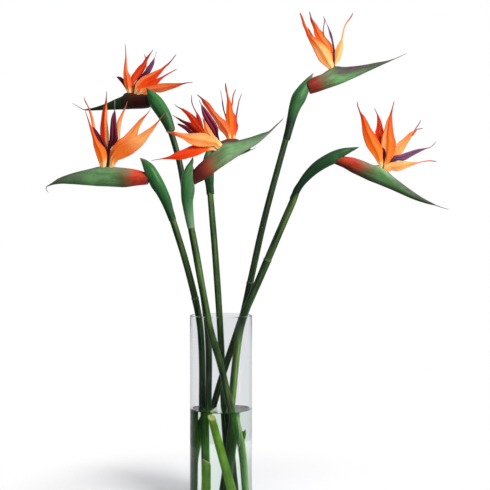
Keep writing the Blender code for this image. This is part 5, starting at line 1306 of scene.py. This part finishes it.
def build_neck_leaf(flower, index):
    """The pointed leaf that wraps the neck: closed below, open on its inner side above."""
    piece = Piece("neck_leaf_" + flower.key)
    look = LEAF_LOOKS[flower.key]
    n = 64
    across = 37
    seed = 7.0 + index * 23.0
    rings = []
    low = flower.radius + 1.4
    opens = look["opens"]
    for k in range(n + 1):
        t = k / n
        s = flower.sheath_length * t
        p, d = flower.on_path(flower.hood, s)
        i = min(len(flower.hood) - 1, int(t * (len(flower.hood) - 1) + 0.5))
        up = flower.leaf_ups[i]
        up = (up - d * up.dot(d)).normalized()
        side = d.cross(up).normalized()
        high_h, low_h = curve(flower.leaf_high, s), curve(flower.leaf_low, s)
        half = max((high_h - low_h) / 2, 0.30)
        p = p + up * ((high_h + low_h) / 2)
        hold = ease(opens + 0.12, opens - 0.06, t)
        half *= 0.94 + 0.06 * ease(0.0, 0.03, t)
        wide = half * (0.92 - 0.22 * ease(opens, 1.0, t))
        wide = wide + (max(wide, low) - wide) * hold
        openness = ease(opens - 0.12, opens + 0.14, t)
        thick = (1.10 - 0.65 * ease(0.5, 1.0, t)) * min(1.0, half / 1.5)
        outer, inner = [], []
        for j in range(across):
            u = -1 + 2 * j / (across - 1)
            a = math.pi * u * 0.992
            m = abs(u)
            x_shut, y_shut = math.sin(a), math.cos(a)
            x_open = math.sin(math.pi / 2 * min(1.0, 2 * m))
            if m > 0.5:
                x_open = 1 - 0.40 * (m - 0.5) * 2
            x_open = math.copysign(x_open, u)
            x = x_shut + (x_open - x_shut) * openness
            y = y_shut
            lap = 1 + 0.05 * u * (1 - openness)
            ridge = 1 + 0.04 * math.exp(-(u / 0.05) ** 2) * ease(0.15, 0.6, t)
            wavy = 1 + 0.012 * wave(t * 7 + u * 2, seed)
            q = p + side * (wide * x * lap * wavy) + up * (half * y * ridge)
            grain = (u * 3.1 * wide + seed, seed * 0.4, s)
            # the tone: each leaf's darkness, its foot darker or, where foot is below zero, a painted
            # highlight on the foot; the inner face is painted a little darker, as shade
            shade = look["dark"] * (1 - 0.4 * ease(0.4, 0.9, t))
            shade += look["foot"] * ease(0.50, 0.08, t)
            outer.append(piece.vert(q, t, u, min(1.0, shade), 0.0, grain))
            to = p - q
            to = to / max(to.length, 1e-6)
            edge = 1 - 0.55 * ease(0.8, 1.0, m)
            inner.append(piece.vert(q + to * (thick * edge), t, u, min(1.0, shade + 0.05), 1.0,
                                    (grain[0] + 40, grain[1], grain[2])))
        rings.append(outer + inner[::-1])
    piece.skin(rings)
    piece.faces.append(tuple(reversed(rings[0])))
    piece.faces.append(tuple(rings[-1]))
    return piece.make(LEAF, ["sheath_" + flower.key], sharp=60)


def build_bract(flower, index):
    """The folded boat: keel below, two lips above, a slit that opens for the florets."""
    look = BRACT_LOOKS[flower.key]
    piece = Piece("bract_" + flower.key)
    along = [blade_root(flower, row[4], row[5], row[1], row[2])[0] for row in BLADES[flower.key]]
    first, last = min(along) - 6, max(along) + 7
    seed = 3.0 + index * 31.0
    rows = 74
    flank, slit = 21, 7
    rings = []
    spots = []
    for k in range(rows + 1):
        t = (k / rows) ** 1.05
        dist = flower.reach * t
        p, d, up, side = flower.spathe_frame(dist)
        high, deep_h = curve(flower.top, dist), curve(flower.keel, dist)
        spots.append((t, p + up * ((high + deep_h) / 2), d, up, side, (high - deep_h) / 2))
    tail = smooth_route([spots[-1][1]] + flower.thread, 1.6)[1:]
    t_dirs = tangents([spots[-1][1]] + tail)
    for k, p in enumerate(tail):
        d = t_dirs[k + 1]
        up = spots[-1][3]
        up = (up - d * up.dot(d)).normalized()
        spots.append((1 + 0.02 * (k + 1) / len(tail), p, d, up, d.cross(up).normalized(), 0.0))
    last_t = spots[-1][0]
    for t, p, d, up, side, h in spots:
        w = h * (0.58 + 0.28 * max(0.0, 1 - t / 0.3))
        hair = 0.72 if t < 1 else 0.72 - 0.42 * (t - 1) / max(1e-6, last_t - 1)
        h, w = max(h, hair), max(w, hair)
        dist = t * flower.reach
        open_here = ease(first - 8, first + 4, dist) * ease(last + 10, last - 2, dist)
        gap = min(0.35 + 3.1 * open_here, w * 0.45)
        deep = min(0.8 + 6.5 * open_here, h * 0.9) * ease(1.0, 0.85, t)
        wobble = 1 + 0.010 * wave(dist / 17.0, seed)
        ring = []
        right = []
        for j in range(flank + 1):
            v = j / flank                      # 0 at the keel, 1 at the lip
            a = -math.pi / 2 + math.pi * v * 0.985
            x = w * math.cos(a) * (1 + 0.14 * math.sin(a))
            y = h * math.sin(a)
            # a keel that is a soft ridge, and lips that stay apart by the gap
            x *= 1 - 0.30 * math.exp(-(v / 0.10) ** 2)
            y -= 0.035 * h * math.exp(-(v / 0.07) ** 2)
            x = max(x, gap * ease(0.80, 1.0, v)) if v > 0.8 else x
            y += 0.30 * math.exp(-((v - 0.965) / 0.03) ** 2) * min(1.0, h / 4)
            # faint lengthwise folds on the flanks
            x *= 1 + 0.012 * math.sin(9 * v + seed) * math.sin(math.pi * v)
            right.append((x * wobble, y, v))
        lip_y = right[-1][1]
        floor = [(gap * (1 - i / slit) * 0.92, lip_y - deep * ease(0.0, 0.75, i / slit), 1.0)
                 for i in range(1, slit)]
        section = [(x, y, v, 0) for x, y, v in right]
        section += [(x, y, v, 1) for x, y, v in floor]
        section += [(0.0, lip_y - deep, 1.0, 1)]
        section += [(-x, y, v, 1) for x, y, v in reversed(floor)]
        section += [(-x, y, v, 0) for x, y, v in reversed(right[1:])]
        grow_a, grow_b = look["grows"]
        for x, y, v, inside in section:
            band = ease(look["band"][0], look["band"][1], v)
            spread = ease(grow_a, grow_b, t)
            mauve = look["mauve"] * spread * max(band, 0.75 * ease(0.80, 1.0, t)) \
                + 0.7 * ease(0.955, 0.99, v) * ease(0.12, 0.3, t)
            if inside:
                mauve = 0.9
            # painted shade: darker for a bract that stands in shade, inside its slit and on its
            # underside; it is also darker at its base. painted light: lighter on its lower flank
            shade = look["dark"] + (0.35 if inside else 0.0)
            shade += look["under"] * ease(0.58, 0.16, v)
            shade += look["base"] * ease(look["red"] + 0.10, look["red"] * 0.40, t)
            shade -= look["light"] * ease(0.80, 0.30, v) * ease(0.20, 0.40, t)
            # the scarlet foot is longer or shorter on each bract
            length_mark = t * 0.24 / look["red"] if t < look["red"] else \
                0.24 + (t - look["red"]) * (1 - 0.24) / (1 - look["red"])
            ring.append(piece.vert(
                p + side * x + up * y, min(1.0, length_mark), v * 2 - 1, min(1.0, shade),
                min(1.0, mauve), (x + seed + (60 if x < 0 else 0), y + seed * 0.3, dist)))
        rings.append(ring)
    piece.skin(rings)
    piece.close(rings[0], flip=True)
    piece.close(rings[-1])
    return piece.make(BRACT, ["spathe_" + flower.key], sharp=55)


def edge_table(place, points, root):
    """Local z and x of a blade's edge, rising from below its foot to its tip."""
    table = []
    for across, down in points:
        x, z = seen_on(place, across, down)
        if not table and z > -1.0:
            table += [(z - 9.0, root), (z - 4.5, root + (x - root) * 0.65)]
        if not table or z > table[-1][0] + 0.25:
            table.append((z, x))
    return table


def add_blade(piece, place, edge_a, edge_b, kind, seed, thick, pale=0.0, rim=0.6, lit_half=0.0,
              hot=0.0, bright=0.0, dull=0.0, keel=-1.0, blade=None, start=0.0, deep=0.0, violet=0.0,
              lift=0.0, lit_half_share=0.80):
    """One thin pointed blade with a middle fold, between two edges seen from the front."""
    tables = [edge_table(place, edge_a, -0.7), edge_table(place, edge_b, 0.7)]
    low = max(t[0][0] for t in tables) + 0.01
    high = min(t[-1][0] for t in tables)
    reach = high - max(0.0, low)
    sections = 50 if high - low > 60 else 26
    half_cols = 10 if high - low > 60 else 7
    cols = 2 * half_cols + 1
    sway = (chance(seed, 2) - 0.5) * 5.0
    turn = (chance(seed, 1) - 0.5) * 0.30
    rings = []
    for k in range(sections + 1):
        z = low + (high - low) * (k / sections) ** 0.92
        t = max(0.0, z / high)
        xa, xb = curve(tables[0], z), curve(tables[1], z)
        x0, w = (xa + xb) / 2, max(abs(xb - xa) / 2, 0.42)
        if k == sections:
            w = 0.22
        tall = thick * (1 - 0.55 * t) * min(1.0, 0.25 + w / 3.0)
        tall = max(tall, 0.42)
        fold = 0.30 * w * (1 - 0.3 * t) if kind != "tongue" else 0.0
        y0 = sway * (t * t - t) + deep
        rows = [[], []]
        for j in range(cols):
            u = -1 + 2 * j / (cols - 1)
            m = abs(u)
            if kind == "tongue":
                # two lobes with a groove between them
                cup = -0.34 * w * math.sin(math.pi * min(1.0, m * 1.02)) ** 0.8 * (1 - 0.4 * t)
            else:
                cup = keel * fold * (1 - m ** 1.3) - keel * 0.10 * w * math.sin(math.pi * m)
                cup += 0.10 * w * u * math.sin(4.0 * t + seed)
            x = x0 + w * u
            th = 0.0 if j in (0, cols - 1) else tall * (0.14 + 0.86 * (1 - m * m) ** 0.7) / 2
            tilt = turn * (t - 0.2) * w * u
            for row, side in ((rows[0], -1), (rows[1], 1)):
                row.append((place @ Vector((x, y0 + cup + tilt + side * th, z)), u))
        front, back = rows[0], rows[1][1:-1]
        ring = []
        for q, u in front + back[::-1]:
            if kind == "tongue":
                tone, mark = bright, violet
                here = t
                if blade:
                    # the shaft, the arrow's blade and the style share one scale
                    a, b = blade
                    here = t / a * 0.34 if t < a else 0.34 + (t - a) / (b - a) * 0.54 \
                        if t < b else 0.88 + (t - b) / (1.0001 - b) * 0.12
            else:
                tone = pale * ease(0.62, 0.34, t) + max(pale, lift) * ease(0.28, 0.58, t) \
                    if lift >= 0 else pale * ease(0.60, 0.30, t)
                # painted light: one half of the blade, beside its fold, is lighter, as the half that
                # faces the light
                if lit_half:
                    hand = 1 if lit_half > 0 else -1
                    tone = max(tone, lit_half_share * ease(abs(lit_half) - 0.12, abs(lit_half) + 0.12, u * hand))
                mark = rim * (0.35 + 0.65 * ease(0.1, 0.7, t)) * ease(0.0, 0.12, t)
                here = t if not hot else max(t, 0.26 + 0.5 * t * hot)
                if bright:
                    here = min(here, 0.50 + 0.30 * ease(0.55, 0.9, t)) if t < 0.86 else here
                if dull:
                    here = max(here, ease(0.15, 0.45, t))
            here = start + (1 - start) * here
            ring.append(piece.vert(q, here, u, min(1.0, tone), mark,
                                   (u * w + seed * 5.3, seed * 2.9, z)))
        rings.append(ring)
    piece.skin(rings)
    piece.close(rings[0], flip=True)
    piece.close(rings[-1])


def blade_place(foot, angle, lean):
    turn = (Matrix.Rotation(math.radians(angle), 3, "Y")
            @ Matrix.Rotation(-math.radians(lean), 3, "X"))
    return Matrix.Translation(foot) @ turn.to_4x4()


def foot_along(flower, across, down):
    """Distance along the bract whose upper edge is seen nearest to a point."""
    best = None
    for k in range(10, 121):
        distance = flower.length * k / 160
        p, d, up, side = flower.spathe_frame(distance)
        x, y = seen_at(p + up * (flower.lip(distance) - SINK))
        off = (x - across) ** 2 + (y - down) ** 2
        if best is None or off < best[0]:
            best = (off, distance)
    return best[1]


def blade_root(flower, edge_a, edge_b, depth, lean):
    """The place of a blade's foot in the bract, turned towards its tip."""
    base = [(edge_a[0][i] + edge_b[0][i]) / 2 for i in (0, 1)]
    tip = [(edge_a[-1][i] + edge_b[-1][i]) / 2 for i in (0, 1)]
    along = foot_along(flower, *base)
    p, d, up, side = flower.spathe_frame(along)
    if side.y < 0:
        side = -side
    foot = p + up * (flower.lip(along) - SINK) + side * depth
    at = seen_at(foot)
    angle = math.degrees(math.atan2(tip[0] - at[0], at[1] - tip[1]))
    return along, foot, angle, blade_place(foot, angle, lean)


def build_blades(flower, index):
    key = flower.key
    for n, row in enumerate(BLADES[key]):
        name, depth, lean, kind, edge_a, edge_b, look = row
        place = blade_root(flower, edge_a, edge_b, depth, lean)[3]
        seed = 1.0 + n * 3.7 + index * 17.3
        look = dict(look)
        extra = look.pop("extra", [])
        node = (name.replace("_", "_" + key + "_", 1) if "_" in name else name + "_" + key)
        if kind == "tongue":
            piece = Piece("arrow_" + key + name[6:])
        else:
            piece = Piece("petal_" + key + name[5:])
        add_blade(piece, place, edge_a, edge_b, kind, seed, 2.4 if kind == "tongue" else 1.5,
                  **look)
        small = {k: v for k, v in look.items() if k in ("pale", "rim", "lift")}
        for m, (shift, side_a, side_b) in enumerate(extra):
            dark = dict(blade=(0.2, 1.4)) if kind == "tongue" else dict(start=0.70)
            add_blade(piece, place, side_a, side_b, kind, seed + 1.3 + m, 0.9, deep=shift,
                      **small, **dark)
        piece.make(TONGUE if kind == "tongue" else SEPALS[kind], [node], sharp=75)


# -------------------------------------------------------------- vase and water
def turned(name, profile, material, node):
    """Turn a closed profile of (radius, height) about the upright axis."""
    piece = Piece(name)
    loops = []
    for r, z in profile:
        if r < 1e-6:
            loops.append([piece.vert((0, 0, z), z / VASE_H, 0, 0, 0, (0, 0, z))])
            continue
        loops.append([piece.vert((r * math.cos(2 * math.pi * k / TURNED_SIDES),
                                  r * math.sin(2 * math.pi * k / TURNED_SIDES), z),
                                 z / VASE_H, k / TURNED_SIDES, 0, 0, (r, 0, z))
                      for k in range(TURNED_SIDES)])
    for low, high in zip(loops, loops[1:]):
        if len(low) == 1:
            piece.fan(high, low[0], flip=True)
        elif len(high) == 1:
            piece.fan(low, high[0])
        else:
            piece.band(low, high)
    return piece.make(material, [node], sharp=50)


def rounded(r, z, radius, start, end, steps=6):
    return [(r + radius * math.cos(math.radians(start + (end - start) * k / steps)),
             z + radius * math.sin(math.radians(start + (end - start) * k / steps)))
            for k in range(steps + 1)]


def build_vase():
    ro, ri = VASE_OD / 2, VASE_OD / 2 - VASE_WALL
    profile = [(0, 0.8), (30, 0.8), (36, 0.0)]
    profile += rounded(ro - RIM_ROUND, RIM_ROUND, RIM_ROUND, -90, 0)
    profile += [(ro, z) for z in (60, 120, 180, 240)]
    profile += rounded(ro - RIM_ROUND, VASE_H - RIM_ROUND, RIM_ROUND, 0, 90)
    profile += rounded(ri + RIM_ROUND, VASE_H - RIM_ROUND, RIM_ROUND, 90, 180)
    profile += [(ri, z) for z in (240, 180, 120, 60)]
    profile += rounded(ri - 4.0, VASE_FLOOR + 4.0, 4.0, 0, -90)
    profile += [(30, VASE_FLOOR - 0.1), (0, VASE_FLOOR - 0.3)]
    return turned("vase_glass", profile, GLASS, "vase")


def build_water():
    """The water reaches a little into the glass, so that no air film shows between."""
    ri = VASE_OD / 2 - VASE_WALL + 0.12
    profile = [(0, VASE_FLOOR - 0.42), (30, VASE_FLOOR - 0.22)]
    profile += rounded(ri - 4.0, VASE_FLOOR + 3.88, 4.0, -90, 0)
    profile += [(ri, 60), (ri, 100), (ri, WATER_LEVEL + 1.5), (ri - 0.35, WATER_LEVEL + 1.05),
                (ri - 0.9, WATER_LEVEL + 0.62), (ri - 1.7, WATER_LEVEL + 0.28),
                (ri - 2.9, WATER_LEVEL + 0.08), (ri - 4.5, WATER_LEVEL), (20, WATER_LEVEL),
                (0, WATER_LEVEL)]
    return turned("vase_water", profile, WATER, "water")


def build_cut_stalk(name, foot, top, radius, slant, seed):
    """A short stalk with a slanting cut top: firm skin, a pale ring and sunken pith."""
    foot, top = Vector(foot), Vector(top)
    d = (top - foot).normalized()
    slope = Vector((math.tan(math.radians(slant[0])), -math.tan(math.radians(slant[1])),
                    1)).normalized()
    side, up = ring_frame(d)
    sides, n = 32, 40
    piece = Piece(name)
    length = (top - foot).length
    rings = []

    def section(p, r, plane, along, mark, squash=1.0, drop=0.0):
        ring = []
        for k in range(sides):
            a = 2 * math.pi * k / sides
            rr = r * (1 + squash * (0.022 * math.cos(2 * a + seed) + 0.010 * math.cos(5 * a)))
            q = p + side * (rr * math.cos(a)) + up * (rr * math.sin(a))
            if plane is not None:
                q = q + d * ((p - q).dot(plane) / d.dot(plane))
            q = q - d * drop
            ring.append(piece.vert(q, along, k / sides, 0.0, mark,
                                   (rr * math.cos(a) + seed, rr * math.sin(a) + seed,
                                    length * along)))
        return ring

    for k in range(n + 1):
        t = k / n
        plane = Vector((0, 0, 1)) if k == 0 else None
        if t > 0.9:
            plane = d.lerp(slope, ease(0.9, 1.0, t)).normalized()
        r = radius * (1 - 0.15 * t) * (1 + 0.02 * wave(t * length / 30, seed))
        rings.append(section(foot.lerp(top, t), r, plane, t, 0.0))
    r = radius * 0.85
    rings.append(section(top, r * 0.95, slope, 1.0, 0.55, drop=-0.25))
    rings.append(section(top, r * 0.86, slope, 1.0, 1.0, drop=-0.20))
    rings.append(section(top, r * 0.78, slope, 1.0, 1.0, drop=0.55))
    rings.append(section(top, r * 0.40, slope, 1.0, 1.0, drop=0.80))
    piece.skin(rings)
    piece.close(rings[-1], mark=1.0)
    piece.close(rings[0], flip=True, mark=1.0)
    return piece.make(CUT, [name.replace("stub", "cut_stalk")])


build_vase()
build_water()
for index, key in enumerate(FLOWERS):
    flower = Flower(key)
    build_stalk(flower, index)
    build_neck_leaf(flower, index)
    build_bract(flower, index)
    build_blades(flower, index)
for index, (name, (foot, top, radius, slant)) in enumerate(CUT_STALKS.items()):
    build_cut_stalk(name.replace("cut_stalk", "stub"), foot, top, radius, slant, index + 2.0)


# ------------------------------------------------- floor, light, world, camera
def build_floor():
    """A plain pale round floor that fades into the white background."""
    mesh = bpy.data.meshes.new("floor")
    verts, faces = [(0, 0, -0.0002)], []
    radii = [0.03 * k for k in range(1, 16)]
    sides = 96
    for r in radii:
        for k in range(sides):
            a = 2 * math.pi * k / sides
            verts.append((r * math.cos(a), r * math.sin(a), -0.0002))
    for k in range(sides):
        faces.append((0, 1 + k, 1 + (k + 1) % sides))
    for n in range(len(radii) - 1):
        a, b = 1 + n * sides, 1 + (n + 1) * sides
        for k in range(sides):
            j = (k + 1) % sides
            faces.append((a + k, b + k, b + j, a + j))
    mesh.from_pydata(verts, [], faces)
    obj = bpy.data.objects.new("floor", mesh)
    bpy.context.scene.collection.objects.link(obj)
    s = Skin("floor_pale", Roughness=0.6)
    place = s.tree.nodes.new("ShaderNodeTexCoord").outputs["Object"]
    far = s.tree.nodes.new("ShaderNodeVectorMath")
    far.operation = "LENGTH"
    s.put(far.inputs[0], place)
    speck = s.noise(place, 90.0, 3.0, 0.5)
    s.finish(s.mix(speck, (0.735, 0.738, 0.748), (0.765, 0.768, 0.778)))
    glow = s.tree.nodes.new("ShaderNodeEmission")
    glow.inputs["Color"].default_value = (1.0, 1.0, 1.0, 1.0)
    glow.inputs["Strength"].default_value = 1.0
    both = s.tree.nodes.new("ShaderNodeMixShader")
    s.put(both.inputs[0], s.fit(far.outputs["Value"], 0.18, 0.42))
    s.tree.links.new(s.shader.outputs[0], both.inputs[1])
    s.tree.links.new(glow.outputs[0], both.inputs[2])
    out = next(n for n in s.tree.nodes if n.type == "OUTPUT_MATERIAL")
    s.tree.links.new(both.outputs[0], out.inputs["Surface"])
    mesh.materials.append(s.mat)


def build_world():
    """White to the camera; the studio round the object is grey with a bright right front."""
    world = bpy.data.worlds.new("studio")
    bpy.context.scene.world = world
    world.use_nodes = True
    tree = world.node_tree
    tree.nodes.clear()
    out = tree.nodes.new("ShaderNodeOutputWorld")
    coord = tree.nodes.new("ShaderNodeTexCoord")

    def facing(direction):
        dot = tree.nodes.new("ShaderNodeVectorMath")
        dot.operation = "DOT_PRODUCT"
        tree.links.new(coord.outputs["Generated"], dot.inputs[0])
        dot.inputs[1].default_value = Vector(direction).normalized()
        return dot.outputs["Value"]

    def mapped(value, low, high, new_low, new_high):
        node = tree.nodes.new("ShaderNodeMapRange")
        node.interpolation_type = "SMOOTHSTEP"
        tree.links.new(value, node.inputs["Value"])
        for label, v in (("From Min", low), ("From Max", high), ("To Min", new_low),
                         ("To Max", new_high)):
            node.inputs[label].default_value = v
        return node.outputs["Result"]

    def maths(operation, a, b):
        node = tree.nodes.new("ShaderNodeMath")
        node.operation = operation
        for socket, value in zip(node.inputs, (a, b)):
            if isinstance(value, float):
                socket.default_value = value
            else:
                tree.links.new(value, socket)
        return node.outputs[0]

    def add(a, b):
        return maths("ADD", a, b)

    behind = mapped(facing((0.0, 1.0, 0.0)), 0.28, 0.68, 0.0, 0.80)
    right = mapped(facing((0.90, -0.25, 0.30)), 0.15, 0.95, 0.0, 0.42)
    above = mapped(facing((0.15, -0.35, 0.92)), 0.15, 0.90, 0.0, 0.50)
    low = mapped(facing((0.0, -0.6, 0.8)), -0.6, 0.6, 0.02, 0.14)
    path = tree.nodes.new("ShaderNodeLightPath")
    # what the glass mirrors from behind is dimmer, so its edges stay dark
    mirrored = maths("GREATER_THAN", path.outputs["Glossy Depth"], 0.5)
    kept = maths("SUBTRACT", 1.0, maths("MULTIPLY", mirrored, 0.15))
    behind = maths("MULTIPLY", behind, kept)
    strength = add(add(behind, right), add(above, low))
    # seen through the glass, the studio is equally bright all round the horizon
    level = facing((0.0, 0.0, 1.0))
    band = mapped(maths("MULTIPLY", level, level), 0.10, 0.55, 0.80, 0.0)
    clear = maths("MULTIPLY", path.outputs["Is Transmission Ray"],
                  maths("LESS_THAN", path.outputs["Diffuse Depth"], 0.5))
    clear = maths("MULTIPLY", clear, maths("SUBTRACT", 1.0, mirrored))
    strength = maths("MAXIMUM", strength, maths("MULTIPLY", band, clear))
    around = tree.nodes.new("ShaderNodeBackground")
    around.inputs["Color"].default_value = (0.97, 0.975, 1.0, 1.0)
    tree.links.new(strength, around.inputs["Strength"])
    white = tree.nodes.new("ShaderNodeBackground")
    white.inputs["Color"].default_value = (1.0, 1.0, 1.0, 1.0)
    white.inputs["Strength"].default_value = 1.0
    both = tree.nodes.new("ShaderNodeMixShader")
    tree.links.new(path.outputs["Is Camera Ray"], both.inputs[0])
    tree.links.new(around.outputs[0], both.inputs[1])
    tree.links.new(white.outputs[0], both.inputs[2])
    tree.links.new(both.outputs[0], out.inputs["Surface"])


def add_soft_light(name, place, target, size, energy, colour=(1, 1, 1)):
    data = bpy.data.lights.new(name, "AREA")
    data.shape = "RECTANGLE"
    data.size, data.size_y = size
    data.energy = energy
    data.color = colour
    obj = bpy.data.objects.new(name, data)
    obj.location = place
    obj.rotation_euler = (Vector(target) - Vector(place)).to_track_quat("-Z", "Y").to_euler()
    bpy.context.scene.collection.objects.link(obj)


build_floor()
build_world()
add_soft_light("soft_key", (1.5, -1.6, 1.6), (0, 0, 0.5), (1.0, 1.0), 70.0, (1.0, 0.985, 0.965))
add_soft_light("soft_strip", (1.25, -0.35, 0.55), (0, 0, 0.45), (0.16, 1.5), 6.0, (1.0, 1.0, 1.0))
add_soft_light("soft_fill", (-0.9, -2.2, 1.0), (0, 0, 0.5), (1.4, 1.4), 5.0, (0.96, 0.98, 1.0))

camera_data = bpy.data.cameras.new("camera")
camera = bpy.data.objects.new("camera", camera_data)
bpy.context.scene.collection.objects.link(camera)
camera_data.sensor_width = 36.0
camera_data.lens = 948.0 / 490.0 * 36.0
camera_data.shift_y = (240.0 - 245.0) / 490.0
camera_data.clip_start, camera_data.clip_end = 0.05, 60.0
camera.location = (0.0387, -1.529, 0.421)
camera.rotation_euler = (math.radians(90), 0, 0)
bpy.context.scene.camera = camera
bpy.context.scene.view_settings.view_transform = "Standard"
